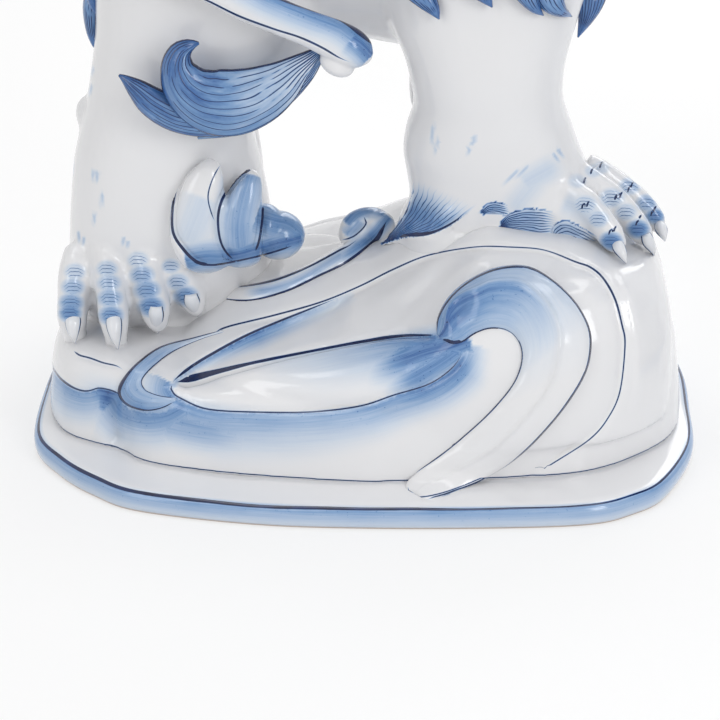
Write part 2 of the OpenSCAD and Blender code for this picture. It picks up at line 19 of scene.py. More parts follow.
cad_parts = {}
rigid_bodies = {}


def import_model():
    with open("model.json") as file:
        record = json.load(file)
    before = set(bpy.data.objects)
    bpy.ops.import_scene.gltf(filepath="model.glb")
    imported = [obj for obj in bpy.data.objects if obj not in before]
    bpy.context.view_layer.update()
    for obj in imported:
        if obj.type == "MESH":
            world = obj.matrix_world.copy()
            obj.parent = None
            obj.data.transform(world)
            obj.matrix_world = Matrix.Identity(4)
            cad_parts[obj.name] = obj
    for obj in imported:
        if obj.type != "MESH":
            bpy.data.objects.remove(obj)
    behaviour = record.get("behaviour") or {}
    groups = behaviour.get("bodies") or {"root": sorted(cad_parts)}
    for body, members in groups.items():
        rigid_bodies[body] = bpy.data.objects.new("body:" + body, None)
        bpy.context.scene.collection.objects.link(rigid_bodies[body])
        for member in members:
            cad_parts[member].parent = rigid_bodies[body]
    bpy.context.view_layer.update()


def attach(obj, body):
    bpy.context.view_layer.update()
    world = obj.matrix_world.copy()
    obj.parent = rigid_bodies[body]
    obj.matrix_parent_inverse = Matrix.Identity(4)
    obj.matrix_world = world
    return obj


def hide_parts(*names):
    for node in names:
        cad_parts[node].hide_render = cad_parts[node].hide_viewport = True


for leftover in list(bpy.data.objects):
    bpy.data.objects.remove(leftover)
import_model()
MM = 0.001
LION_PLACE = np.array([-255.0, -20.0, 0.0])
VOXEL_SCALE = 1.0


def show(name, data):
    """A new object in the scene."""
    made = bpy.data.objects.new(name, data)
    bpy.context.scene.collection.objects.link(made)
    return made

# %% [markdown]
# ## The viewer's eye
# The camera comes first, because the waves and the brush lines are placed by looking: a point
# of the picture is a straight line from the eye, and where it meets the clay is the place.
# The lens was fitted to the plinth's outline. It looks down by 24 degrees from 1.5 m.

# %% Camera
PICTURE = 720
EYE_TURN, EYE_RISE = 0.069, math.radians(24.0)
EYE_DISTANCE, FOCAL_PIXELS = 1500.0, 2608.0
EYE_AIM = np.array([-1.3, 0.0, 42.4])
eye_back = np.array([math.sin(EYE_TURN) * math.cos(EYE_RISE),
                     -math.cos(EYE_TURN) * math.cos(EYE_RISE), math.sin(EYE_RISE)])
eye_place = EYE_AIM + EYE_DISTANCE * eye_back
eye_right = np.array([math.cos(EYE_TURN), math.sin(EYE_TURN), 0.0])
eye_up = np.cross(eye_right, -eye_back)
SENSOR = 36.0
# About what one pixel of the picture shows of the clay
PIXEL_MM = 0.55

camera_data = bpy.data.cameras.new("camera")
camera_data.sensor_width = SENSOR
camera_data.lens = FOCAL_PIXELS * SENSOR / PICTURE
camera = show("camera", camera_data)
camera.location = (eye_place + LION_PLACE) * MM
camera.rotation_euler = Vector(eye_back).to_track_quat("Z", "Y").to_euler()
bpy.context.scene.camera = camera


def seen(points):
    """Places in the picture of points on the lion."""
    d = np.asarray(points, float) - eye_place
    depth = d @ -eye_back
    return np.stack([PICTURE / 2 + FOCAL_PIXELS * (d @ eye_right) / depth,
                     PICTURE / 2 - FOCAL_PIXELS * (d @ eye_up) / depth], -1)


def sight(pixel):
    """Direction of the line of sight through a place in the picture."""
    return (-eye_back + eye_right * (pixel[0] - PICTURE / 2) / FOCAL_PIXELS
            - eye_up * (pixel[1] - PICTURE / 2) / FOCAL_PIXELS)


def at_plane(pixel, axis, value):
    """Point of the line of sight on a plane square to an axis."""
    d = sight(pixel)
    return eye_place + d * (value - eye_place[axis]) / d[axis]


print("camera lens", round(camera_data.lens, 1), "mm")

# %% [markdown]
# ## Tools for soft clay
# Every form starts as a ring that is extruded from station to station, as a potter's coil grows.
# Several such forms are then pressed together by a voxel remesh, which joins them as slip does,
# and a little smoothing rounds the joins like a coat of glaze.

# %% Paths and rings
def path(points, step):
    """A smooth line through a few points, with a point at about every step."""
    p = np.asarray(points, float)
    q = np.vstack([2 * p[0] - p[1], p, 2 * p[-1] - p[-2]])
    out = []
    for a, b, c, d in zip(q[:-3], q[1:-2], q[2:-1], q[3:]):
        n = max(1, int(round(np.linalg.norm((c - b)[:3]) / step)))
        t = np.linspace(0, 1, n, endpoint=False)[:, None]
        out.append((2 * b + (c - a) * t + (2 * a - 5 * b + 4 * c - d) * t ** 2
                    + (3 * b - a - 3 * c + d) * t ** 3) / 2)
    return np.vstack(out + [p[-1:]])


def unit(v):
    """Vectors of length 1."""
    v = np.asarray(v, float)
    return v / np.maximum(np.linalg.norm(v, axis=-1, keepdims=True), 1e-9)


def ease(t):
    """A soft step from 0 to 1."""
    t = np.clip(t, 0, 1)
    return t * t * (3 - 2 * t)


def rail(knots, lift, step):
    """A line through knots at an even step, with its sideways and upward directions."""
    line = path(knots, step)
    way = unit(np.gradient(line[:, :3], axis=0))
    side = unit(np.cross(way, lift))
    return line, side, np.cross(side, way)


def round_turn(sides):
    """Angles round a ring."""
    return np.linspace(0, 2 * math.pi, sides, endpoint=False)


def coil(knots, lift, step=4.0, sides=14):
    """Rings of a tapering coil. A knot is x, y, z, half width and half thickness."""
    turn = round_turn(sides)
    return [c[:3] + s * (c[3] * np.cos(turn))[:, None] + u * (c[4] * np.sin(turn))[:, None]
            for c, s, u in zip(*rail(knots, lift, step))]


def level(z, x_low, x_high, y_low, y_high, sides=40, power=2.0):
    """A ring at one height, round or squarer with a higher power."""
    c, s = np.cos(round_turn(sides)), np.sin(round_turn(sides))
    c, s = np.sign(c) * abs(c) ** (2 / power), np.sign(s) * abs(s) ** (2 / power)
    return np.stack([(x_low + x_high) / 2 + (x_high - x_low) / 2 * c,
                     (y_low + y_high) / 2 + (y_high - y_low) / 2 * s, np.full(sides, z)], 1)


def add_form(form, other):
    """Copies one bmesh into another and frees it."""
    mesh = bpy.data.meshes.new("part")
    other.to_mesh(mesh)
    other.free()
    form.from_mesh(mesh)
    bpy.data.meshes.remove(mesh)
    return form


def grow(form, rings):
    """Extrudes the first ring from ring to ring, and adds the closed skin to a form."""
    skin = bmesh.new()
    face = skin.faces.new([skin.verts.new(p) for p in rings[0]])
    inner = []
    for ring in rings[1:]:
        geom = bmesh.ops.extrude_face_region(skin, geom=[face])["geom"]
        face = next(g for g in geom if isinstance(g, bmesh.types.BMFace))
        for v, p in zip(face.verts, ring):
            v.co = p
        inner.append(face)
    bmesh.ops.delete(skin, geom=inner[:-1], context="FACES_ONLY")
    return add_form(form, skin)

# %% Pressing and reading meshes
def keep(name, form):
    """A bmesh as a named object, its faces outwards."""
    bmesh.ops.recalc_face_normals(form, faces=form.faces[:])
    mesh = bpy.data.meshes.new(name)
    form.to_mesh(mesh)
    form.free()
    return show(name, mesh)


@contextlib.contextmanager
def opened(piece):
    """The mesh of a piece as a bmesh, put back at the end."""
    form = bmesh.new()
    form.from_mesh(piece.data)
    form.normal_update()
    yield form
    form.to_mesh(piece.data)
    form.free()


def press(piece, voxel, rounds):
    """Joins overlapping forms into one skin and rounds the joins."""
    remesh = piece.modifiers.new("press", "REMESH")
    remesh.mode = "VOXEL"
    remesh.voxel_size = voxel * VOXEL_SCALE
    soft = piece.modifiers.new("soften", "SMOOTH")
    soft.factor = 0.5
    soft.iterations = rounds
    shaped = piece.evaluated_get(bpy.context.evaluated_depsgraph_get())
    old, piece.data = piece.data, bpy.data.meshes.new_from_object(shaped)
    piece.modifiers.clear()
    bpy.data.meshes.remove(old)
    piece.data.name = piece.name
    return piece


def triples(rows, name):
    """A vector property of many points as an array."""
    out = np.empty(len(rows) * 3, np.float32)
    rows.foreach_get(name, out)
    return out.reshape(-1, 3).astype(float)


def places(piece):
    """The points of a piece."""
    return triples(piece.data.vertices, "co")


def facing(piece):
    """The normals at the points of a piece."""
    return triples(piece.data.vertex_normals, "vector")


def put(piece, co):
    """Moves the points of a piece."""
    piece.data.vertices.foreach_set("co", np.asarray(co, np.float32).ravel())
    piece.data.update()


def mark(piece, name, values):
    """Stores one number a point, for the glaze to read."""
    mesh = piece.data
    layer = mesh.attributes.get(name) or mesh.attributes.new(name, "FLOAT", "POINT")
    layer.data.foreach_set("value", np.asarray(values, np.float32))


def hollows(piece, rounds=12):
    """How deep each point lies in a hollow, where glaze pools and the glaze takes a painted shade.
    """
    mesh = piece.data
    pair = np.empty(len(mesh.edges) * 2, np.int32)
    mesh.edges.foreach_get("vertices", pair)
    a, b = pair.reshape(-1, 2).T
    count = np.bincount(pair, minlength=len(mesh.vertices))[:, None]
    start = co = places(piece)
    for _ in range(rounds):
        total = [np.bincount(a, co[b, k], len(co)) + np.bincount(b, co[a, k], len(co))
                 for k in range(3)]
        co = 0.4 * co + 0.6 * np.transpose(total) / np.maximum(count, 1)
    return ((co - start) * facing(piece)).sum(1)


def tree_of(piece):
    """A tree that rays and points are held against."""
    form = bmesh.new()
    form.from_mesh(piece.data)
    tree = BVHTree.FromBMesh(form)
    form.free()
    return tree


def first_hit(start, way, trees):
    """Point and normal of the first clay along a line, or None."""
    hits = [tree.ray_cast(Vector(start), Vector(way)) for tree in trees]
    hit = min((h for h in hits if h[0] is not None), key=lambda h: h[3], default=None)
    return hit and (np.array(hit[0]), np.array(hit[1]))

# %% [markdown]
# ## Brush lines and washes
# A painter's line is a curve with a width that swells and thins. For every point of the clay its
# distance to the nearest line is stored with a sign, and the glaze draws the line where that
# distance passes through nought. The drawn edge is then sharper than the mesh. Two lines that run
# close together go into two layers. A wash is a line too: blue on one side that fades away, with
# the streaks of the brush along it.

# %% Distances to brush lines
def near(points, line):
    """Signed distance to a flat line (below is plus) and the length along it."""
    a = line[:-1]
    d = line[1:] - a
    size = np.maximum((d ** 2).sum(1), 1e-9)
    along = np.concatenate([[0], np.cumsum(np.sqrt(size))])
    far = np.full(len(points), 1e3)
    run = np.zeros(len(points))
    for start in range(0, len(points), 20000):
        w = points[start:start + 20000, None] - a[None]
        t = np.clip((w * d).sum(2) / size, 0, 1)
        gap = ((w - t[..., None] * d) ** 2).sum(2)
        k = gap.argmin(1)
        row = np.arange(len(k))
        cross = d[k, 0] * w[row, k, 1] - d[k, 1] * w[row, k, 0]
        far[start:start + 20000] = np.sqrt(gap[row, k]) * np.where(cross < 0, -1, 1)
        run[start:start + 20000] = along[k] + t[row, k] * np.sqrt(size[k])
    return far, run / along[-1], along[-1]


LINE_REACH = 9.0
FAN_LINES, FAN_POINTS = 17, 14


def even(points, count):
    """A smooth line through points, as a number of points at one spacing."""
    line = path(points, 1.5)
    run = np.concatenate([[0], np.cumsum(np.linalg.norm(np.diff(line, axis=0), axis=1))])
    at = np.linspace(0, run[-1], count)
    return np.stack([np.interp(at, run, line[:, k]) for k in range(line.shape[1])], 1)


def stops(rows, column=1):
    """A function that reads one column of a table by the share in its first column."""
    return lambda t: np.interp(t, [r[0] for r in rows], [r[column] for r in rows])


def fade(share, ends):
    """Nought at both ends of a line and one between them."""
    return ease(share / max(ends[0], 1e-3)) * ease((1 - share) / max(ends[1], 1e-3))


class Paint:
    """Gathers lines, washes and relief for one piece, on flat places of its points."""

    def __init__(self, flat, allowed=None):
        self.flat = flat
        self.allowed = np.ones(len(flat), bool) if allowed is None else allowed
        self.gap = {layer: np.full(len(flat), LINE_REACH) for layer in "ab"}
        self.half = {layer: np.full(len(flat), -LINE_REACH) for layer in "ab"}
        self.blue, self.run, self.off, self.comb, self.across, self.rise = np.zeros((6, len(flat)))
        self.wide = np.ones(len(flat))

    def within(self, low, high):
        """The points that may be painted between two corners."""
        return np.flatnonzero(self.allowed & (self.flat > low).all(1) & (self.flat < high).all(1))

    def near(self, points, reach):
        """The points near a line: which, how far, at what share of it, and its length."""
        line = path(points, 4.0)
        pick = self.within(line.min(0) - reach, line.max(0) + reach)
        gap, share, size = near(self.flat[pick], line)
        close = abs(gap) < reach
        return pick[close], gap[close], share[close], size

    def lay(self, pick, value, run, off):
        """Lays a wash where it is bluer than what is there, and says which points took it."""
        more = value > self.blue[pick]
        at = pick[more]
        self.blue[at], self.run[at], self.off[at] = value[more], run[more], off[more]
        return more

    def line(self, points, half, ends=(0.06, 0.06), layer="a", swell=((0, 1),)):
        """A line of the fine brush. The swell is a table of its width along it."""
        pick, gap, share, _ = self.near(points, LINE_REACH)
        width = half * fade(share, ends) * stops(swell)(share)
        width = np.where(abs(gap) > LINE_REACH * 0.7, -LINE_REACH, width)
        better = (abs(gap) < abs(self.gap[layer][pick])) & (share > 0) & (share < 1)
        self.gap[layer][pick[better]] = gap[better]
        self.half[layer][pick[better]] = width[better]

    def wash(self, points, side, table):
        """Blue on one side of a line. The table gives share, strength and reach."""
        pick, gap, share, size = self.near(points, max(row[2] for row in table) * 1.2)
        gap = gap * side
        edge = ease((gap + 1.5) / 3.0) * (share > 0) * (share < 1)
        value = stops(table)(share) * edge * (1 - ease(gap / stops(table, 2)(share))) ** 1.3
        self.lay(pick, value, share * size, gap)

    def glow(self, points, strength, reach, ends=(0.15, 0.4)):
        """A soft stroke of a wide brush, blue on both sides of its line."""
        pick, gap, share, size = self.near(points, reach)
        value = strength * fade(share, ends) * (1 - ease(abs(gap) / reach))
        self.lay(pick, value, share * size, gap)

    def dab(self, spot, reach, strength, squash=1.0, arcs=0.0):
        """A touch of the brush round one place, with bowed strokes this far apart."""
        away = (self.flat - spot) * (1.0, squash)
        gap = np.hypot(*away.T)
        value = strength * (1 - ease((gap / reach) ** 2.2)) * self.allowed
        more = self.lay(np.arange(len(gap)), value, away[:, 0] * 2.5, away[:, 1] * 1.2)
        if arcs:
            self.across[more] = (away[more, 1] / squash - 0.035 * away[more, 0] ** 2) / arcs
            self.wide[more] = arcs
            self.comb[more] = 0.95 * (1 - ease((gap[more] / reach - 0.35) / 0.5))

    def fan(self, first, last, count, comb=1.0, strength=0.5, ends=(0.02, 0.45)):
        """Hair strokes that fill the space between two curves, over a wash."""
        first, last = even(first, FAN_POINTS), even(last, FAN_POINTS)
        end = FAN_LINES - 1
        sweep = [first + (last - first) * k / end for k in range(FAN_LINES)]
        pick = self.within(np.min(sweep, axis=(0, 1)) - 4, np.max(sweep, axis=(0, 1)) + 4)
        gaps = np.array([near(self.flat[pick], line)[:2] for line in sweep])
        gap, share = gaps[:, 0], gaps[:, 1]
        best, row = abs(gap).argmin(0), np.arange(len(pick))
        beyond = gap[best, row] * gap[np.minimum(best + 1, end), row] < 0
        other = np.clip(best + np.where(beyond, 1, -1), 0, end)
        a, b = abs(gap[best, row]), abs(gap[other, row])
        place = (best + (other - best) * a / np.maximum(a + b, 1e-6)) / end
        along = share[best, row]
        inside = ((gap[0] * gap[-1] < 0) | (a < 1.2)) & (along > 0) & (along < 1)
        edge = 1 - ease((abs(place - 0.5) - 0.42) / 0.08) * 0.6
        length = np.linalg.norm(np.diff(first, axis=0), axis=1).sum()
        spread = np.interp(along, np.linspace(0, 1, FAN_POINTS),
                           np.linalg.norm(first - last, axis=1))
        value = strength * fade(along, ends) * edge * inside
        more = self.lay(pick, value, along * length, place * spread)
        at = pick[more]
        self.across[at] = place[more] * count
        self.wide[at] = np.maximum(spread[more] / count, 0.5) * 0.58
        self.comb[at] = comb * np.minimum(fade(along[more], ends) * 1.6, 1)

    def groove(self, points, deep, wide, end=0.08):
        """Cuts a round groove along a line."""
        pick, gap, share, _ = self.near(points, wide * 3)
        self.rise[pick] -= deep * fade(share, (end, end)) * np.exp(-(gap / wide) ** 2)

    def step(self, points, side, high, wide, back, end=0.1):
        """Raises one side of a line and lets the rise die away behind it."""
        pick, gap, share, _ = self.near(points, back)
        gap = gap * side
        self.rise[pick] += (high * fade(share, (end, end)) * ease(gap / wide + 0.5)
                            * (1 - ease(gap / back)))

    def store(self, piece):
        """Writes what was gathered to the points of the piece."""
        for layer in "ab":
            mark(piece, "gap_" + layer, self.gap[layer])
            mark(piece, "half_" + layer, self.half[layer])
        for name in ("blue", "run", "off", "comb", "across", "wide"):
            mark(piece, name, getattr(self, name))


def paint_seen(piece, lean):
    """Points, normals and a Paint of a piece, on what it turns to the eye or a little away."""
    co, no = places(piece), facing(piece)
    return co, no, Paint(seen(co), (no @ eye_back) > lean)


pieces = {}


def done(piece, replaced, slot):
    """Notes which CAD nodes a piece stands for. Its finish is kept with it but not used."""
    pieces[piece.name] = (piece, replaced, slot)
    print(piece.name, len(piece.data.polygons), "faces")
    return piece

# %% [markdown]
# ## Plinth
# A low slab with a soft, hand-finished edge. Its outline isn't a clean oval: the left front
# corner is rounder than the right one. The outline is read once and used at every height, moved
# in or out, so a ring that is extruded upwards gives the band, the ledge and, below, the bare
# foot ring with its recess and vent.

# %% Plinth form
PLINTH_FRONT = [(190, 20), (189, -33), (173, -82), (155, -103), (130, -117), (75, -125),
                (8, -129.5), (-50, -129), (-114, -118), (-142, -101), (-165, -78), (-184, -45),
                (-190, 20)]
PLINTH_BACK = [(-188, 70), (-176, 120), (-150, 150), (-90, 168), (0, 170), (90, 168),
               (150, 150), (176, 120), (188, 70)]


def closed(points, step):
    """A smooth closed outline through points, at an even spacing."""
    p = list(points)
    line = path(p[-2:] + p + p[:3], 1.0)
    start = np.argmin(np.linalg.norm(line - p[0], axis=1)[:len(line) // 2])
    stop = len(line) // 2 + np.argmin(np.linalg.norm(line[len(line) // 2:] - p[0], axis=1))
    line = line[start:stop + 1]
    run = np.concatenate([[0], np.cumsum(np.linalg.norm(np.diff(line, axis=0), axis=1))])
    at = np.arange(0, run[-1] - step / 2, run[-1] / round(run[-1] / step))
    return np.stack([np.interp(at, run, line[:, k]) for k in (0, 1)], 1)


def turning(outline):
    """1 for an outline that runs to the left, -1 for one that runs to the right."""
    x, y = outline.T
    return np.sign((x * np.roll(y, -1) - y * np.roll(x, -1)).sum())


def inset(outline, by):
    """An outline moved in by some millimetres."""
    way = unit(np.roll(outline, -1, 0) - np.roll(outline, 1, 0))
    return outline + by * np.stack([-way[:, 1], way[:, 0]], 1) * turning(outline)


def at_height(outline, z):
    """A flat outline as a ring at one height."""
    return np.column_stack([outline, np.full(len(outline), float(z))])


plinth_outline = closed(PLINTH_FRONT + PLINTH_BACK, 3.0)
# Height and way in of each ring, from the vent round the foot to the ledge
FOOT_RINGS = [(2.0, 16.5), (2.0, 15.0), (1.4, 14.3), (0.3, 13.8), (0.0, 12.5), (0.0, 3.0),
              (0.5, 1.6), (2.0, 0.7), (4.0, 0.2), (6.5, 0.0), (8.5, 0.3), (10.2, 1.0),
              (11.4, 2.0), (12.2, 3.4), (12.8, 5.5), (13.0, 9.0), (13.2, 16.0), (13.4, 24.0),
              (13.2, 40.0)]
VENT = 12.5
vent_turn = (round_turn(len(plinth_outline)) * turning(plinth_outline)
             + math.atan2(*plinth_outline[0][::-1]))
vent_ring = VENT * np.stack([np.cos(vent_turn), np.sin(vent_turn)], 1)
rings = [at_height(vent_ring, 11.0), at_height(vent_ring, 3.0), at_height(vent_ring * 1.08, 2.0)]
rings += [at_height(inset(plinth_outline, by), z) for z, by in FOOT_RINGS]
plinth = keep("left_plinth_glazed", grow(bmesh.new(), rings))
co = places(plinth)
wave = 0.35 * np.sin(co[:, 0] * 0.045 + 1.0) + 0.25 * np.sin(co[:, 0] * 0.11 + co[:, 1] * 0.07)
co[:, 2] += wave * ease((co[:, 2] - 7) / 5) * 0.8
put(plinth, co)

# %% Plinth paint
BAND_LINE, BAND_RIM, MM_A_DEGREE = 11.9, 4.8, 3.3
ring_run = np.degrees(np.arctan2(co[:, 1] - 20, co[:, 0])) * MM_A_DEGREE
gap = (co[:, 2] - wave * 0.5 - BAND_LINE) / PIXEL_MM
edge_gap = np.array([np.linalg.norm(plinth_outline - p[:2], axis=1).min() for p in co])
outer = edge_gap < BAND_RIM
mark(plinth, "gap_a", np.where(outer, gap, LINE_REACH))
mark(plinth, "half_a", np.where(outer & (abs(gap) < 6), 1.25 + 0.5 * np.sin(ring_run * 0.012),
                                -LINE_REACH))
below = np.where(outer & (co[:, 2] < 13), ease((BAND_LINE + 1.0 - co[:, 2]) / 1.6), 0)
mark(plinth, "blue", below * (0.16 + 0.34 * ease((co[:, 2] - 1.0) / 11)) * (co[:, 2] > 0.2))
mark(plinth, "run", ring_run)
mark(plinth, "off", co[:, 2] * 1.7)
mark(plinth, "bare", np.where((co[:, 2] < 2.2) & (edge_gap > 1.4), 1.0, 0.0))
done(plinth, ["plinth"], "plinth_glaze")

# %% [markdown]
# ## Rock
# The rock is one cast block: a low platform under the hind feet that swells into a high wave
# under the fore feet. Rings stacked up from the foot give the block. The high part is a second
# stack of rings whose height follows a slope. Both are pressed together, and then the carving
# is done as a modeller does it, by pushing the surface in and out along lines.

# %% Rock form
ROCK_FRONT = [(184, 24), (180, -19), (164, -49), (128, -79), (71, -92), (24, -98), (6, -100),
              (-54, -96), (-100, -88), (-119, -80), (-128, -71), (-142, -64), (-163, -51),
              (-175, -31), (-182, -4), (-184, 24)]
ROCK_BACK = [(-182, 70), (-171, 115), (-146, 144), (-88, 161), (0, 163), (88, 161),
             (146, 144), (171, 115), (182, 70)]
ROCK_FOOT, PLATFORM, SUMMIT = 12.0, 60.0, 118.0
rock_outline = closed(ROCK_FRONT + ROCK_BACK, 5.0)
# Height over the plinth and way in of the platform's rings
WALL_RINGS = [(0, 0), (4, 0.3), (14, 1.2), (24, 2.0), (33, 3.2), (39, 5.5), (43.5, 9.5),
              (46, 15), (47.3, 24), (48, 50)]
CRAG_MIDDLE, CRAG_WIDE, CRAG_FRONT, CRAG_BACK = 38.0, 276.0, 93.0, 156.0
CRAG_POWER, CRAG_LEAN = 2.9, 0.52
SLOPE = [(0.32, -0.2, 0.15), (0.30, 0.0, 0.18), (0.38, 0.29, 0.20)]
CRAG_RINGS = [(1.0, -0.5), (1.0, 0.05), (0.985, 0.3), (0.95, 0.5), (0.9, 0.68), (0.83, 0.84),
              (0.75, 0.95), (0.66, 1.0), (0.5, 1.01), (0.3, 1.01), (0.1, 1.0)]


def slope_rise(x, y):
    """Share of the high rock's height over each place of its plan."""
    u = (x - CRAG_MIDDLE) / CRAG_WIDE + 0.5
    rise = sum(s * ease((u - at) / wide) for s, at, wide in SLOPE)
    open_front = np.maximum(ease((y + 62) / 70), ease((u - 0.43) * 5))
    far_side = 1 - 0.22 * ease((y - 43.6) / 10.3)
    return rise * (0.42 + 0.58 * open_front) * far_side


form = grow(bmesh.new(), [at_height(inset(rock_outline, way_in), ROCK_FOOT + 1 + up)
                          for up, way_in in [(-1, 0)] + WALL_RINGS])
crag_plan = level(0, -1, 1, -1, 1, 90, CRAG_POWER)
rings = []
for share, up in CRAG_RINGS:
    x = CRAG_MIDDLE + CRAG_WIDE / 2 * (crag_plan[:, 0] * share + CRAG_LEAN * (1 - share))
    y = crag_plan[:, 1] * np.where(crag_plan[:, 1] < 0, CRAG_FRONT, CRAG_BACK) * share
    rings.append(np.stack([x, y, PLATFORM + (SUMMIT - PLATFORM) * up
                           * (slope_rise(x, y) if up > 0 else np.ones(len(x)))], 1))
grow(form, rings)
rock = press(keep("left_rock_carved", form), 1.9, 13)
print("rock", len(rock.data.polygons), "faces before carving")

# %% [markdown]
# ### Carving and painting the rock
# The carved lines are given as they stand in the picture. A point of the rock is looked up in
# the picture, and the nearest line tells how far it is pushed in and how much blue it gets. The
# back of the rock isn't in view, so it takes the same carving as in a mirror.

# %% Lines of the rock
CONTOUR = [(215, 332), (230, 326), (275, 315), (321, 302), (360, 286), (394, 269), (429, 255),
           (475, 247), (509, 247), (544, 250), (576, 262), (590, 267), (603, 278), (615, 299),
           (622, 325), (625, 345), (620, 391), (608, 418), (590, 439), (555, 462), (528, 478),
           (505, 488)]
OUTER_RIDGE = [(598, 256), (606, 262), (617, 275), (626, 303), (634, 347), (634, 388), (626, 420)]
LID = [(171, 388), (173, 382), (179, 376), (200, 361), (241, 338), (275, 323), (305, 311),
       (330, 301), (352, 292)]
LEAF_TOP = [(173, 383), (186, 380), (200, 376), (252, 363), (312, 351), (360, 342), (400, 336),
            (436, 335)]
LEAF_FOOT = [(173, 383), (171, 389), (174, 394), (182, 399), (207, 409), (252, 412), (310, 412),
             (360, 406), (394, 395), (429, 384), (452, 368), (463, 352), (466, 343)]
PLATFORM_EDGE = [(44, 330), (44.5, 341), (47, 354), (52, 366), (60, 378), (72, 387), (84, 391),
                 (92, 390), (98, 388), (106, 389), (113, 391), (119, 394)]
TOE_LEDGE = [(73, 350), (79, 355), (90, 358), (104, 363), (117, 366), (126, 372)]
CREASE = [(112, 390), (110, 410), (112, 430), (118, 452)]


ROCK_MIDDLE = 31.0


def mirrored_back(co, no):
    """Points and normals, with what lies behind turned round to the front."""
    co, no = co.copy(), no.copy()
    back = co[:, 1] > ROCK_MIDDLE
    co[back, 1] = 2 * ROCK_MIDDLE - co[back, 1]
    no[back, 1] *= -1
    return co, no


def rock_paint(co, no):
    """Lines and washes of the rock. Behind, only what the eye doesn't reach is painted."""
    hidden_half = (co[:, 1] > ROCK_MIDDLE) & (no[:, 1] < 0.42 * no[:, 2])
    co, no = mirrored_back(co, no)
    paint = Paint(seen(co), ((no @ eye_back) > -0.05) & ~hidden_half)
    paint.line(CONTOUR, 1.0, (0.01, 0.05), "a", [(0, 1), (0.3, 0.9), (0.5, 0.7), (0.62, 1.2),
                                                (0.75, 0.8), (1, 0.7)])
    paint.line(LID, 1.5, (0.12, 0.25), "b", [(0, 1), (0.3, 1.0), (0.6, 0.8), (1, 0.5)])
    paint.line(LEAF_TOP, 1.6, (0.06, 0.03), "a", [(0, 1), (0.08, 2.1), (0.18, 1.5), (0.3, 1.0),
                                                 (0.6, 0.9), (0.8, 1.2), (1, 0.6)])
    paint.line(LEAF_FOOT, 0.95, (0.02, 0.1), "b")
    paint.line(PLATFORM_EDGE, 1.0, (0.02, 0.02), "a", [(0, 0.7), (0.5, 1.2), (0.8, 0.8), (1, 1)])
    paint.line(TOE_LEDGE, 0.9, (0.1, 0.3), "a")
    paint.wash(LID, 1, [(0.1, 0.45, 8), (0.3, 0.62, 18), (0.5, 0.72, 26), (0.75, 0.42, 22),
                        (1, 0.1, 16)])
    paint.wash(LEAF_FOOT, 1, [(0.05, 0.55, 46), (0.2, 0.5, 66), (0.4, 0.42, 64), (0.6, 0.44, 52),
                              (0.8, 0.66, 42), (0.93, 0.66, 46), (1, 0.35, 30)])
    paint.glow([(350, 372), (390, 364), (425, 352), (448, 346), (470, 338)], 0.7, 30, (0.5, 0.01))
    paint.glow([(376, 392), (410, 380), (438, 364), (458, 350)], 0.62, 30, (0.5, 0.01))
    paint.glow([(60, 384), (100, 402), (130, 414), (165, 420), (205, 428), (250, 434),
                (300, 436)], 0.44, 34, (0.3, 0.4))
    paint.wash(LEAF_TOP, 1, [(0.3, 0, 40), (0.55, 0.18, 60), (0.75, 0.42, 60), (0.9, 0.62, 60),
                             (1, 0.66, 60)])
    wall = PLATFORM_EDGE + [(127, 407), (145, 413), (165, 411), (182, 402)]
    paint.wash(wall, 1, [(0, 0.75, 40), (0.2, 0.55, 48), (0.45, 0.5, 48), (0.55, 0.78, 56),
                         (0.62, 0.6, 56), (0.8, 0.55, 50), (1, 0.6, 50)])
    return paint


def rock_relief(co, no):
    """How far each point of the rock stands out or in along the carved lines."""
    co, no = mirrored_back(co, no)
    cut = Paint(seen(co), (no @ eye_back) > -0.05)
    cut.step(CONTOUR, 1, -1.6, 5, 26)
    cut.groove(CONTOUR, 1.0, 4.0)
    cut.step(OUTER_RIDGE, -1, 1.6, 6, 24, 0.3)
    cut.step(LID, 1, -4.5, 7, 44, 0.15)
    cut.groove(LEAF_TOP, 3.0, 5.0, 0.05)
    cut.step(LEAF_TOP, 1, 2.0, 8, 60, 0.1)
    cut.groove(LEAF_FOOT, 1.8, 5.0, 0.05)
    cut.step(LEAF_FOOT, 1, 2.2, 8, 46, 0.1)
    cut.groove(TOE_LEDGE, 0.9, 4.0, 0.2)
    cut.groove(CREASE, 5.0, 9.0, 0.25)
    cut.step(PLATFORM_EDGE, 1, -0.8, 4, 14)
    return cut.rise

# %% Carve the rock
co, no = places(rock), facing(rock)
# A mound under the fore paws, where the picture shows the rock meet the toes
x, y, z = co.T
under_paws = (ease((x - 2) / 38) * ease((152 - x) / 42) * ease((y + 66) / 42)
              * ease((72 - y) / 50) * ease((no[:, 2] - 0.2) / 0.6))
co[:, 2] += under_paws * (12.5 + 6 * np.exp(-((x - 66) / 28) ** 2))
put(rock, co)
no = facing(rock)
lump = 0.5 * np.sin(x * 0.05 + 2) * np.sin(y * 0.06) + 0.3 * np.sin(z * 0.09 + x * 0.03)
co += no * (rock_relief(co, no) + lump * ease((z - 20) / 20))[:, None]
put(rock, co)
no = facing(rock)
paint = rock_paint(co, no)
FOOT_LINE = 14.6
foot = (no[:, 2] < 0.9) & (co[:, 2] < FOOT_LINE + 3.5)
paint.gap["a"][foot] = (FOOT_LINE - co[foot, 2]) / PIXEL_MM
paint.half["a"][foot] = 0.85
paint.store(rock)
mark(rock, "pool", hollows(rock))
rock_tree, plinth_tree = tree_of(rock), tree_of(plinth)
done(rock, ["rock", "crag"], "rock_glaze")


def on_rock(pixel):
    """Point and normal of the rock or the ledge at a place in the picture, or None."""
    return first_hit(eye_place, unit(sight(pixel)), (rock_tree, plinth_tree))

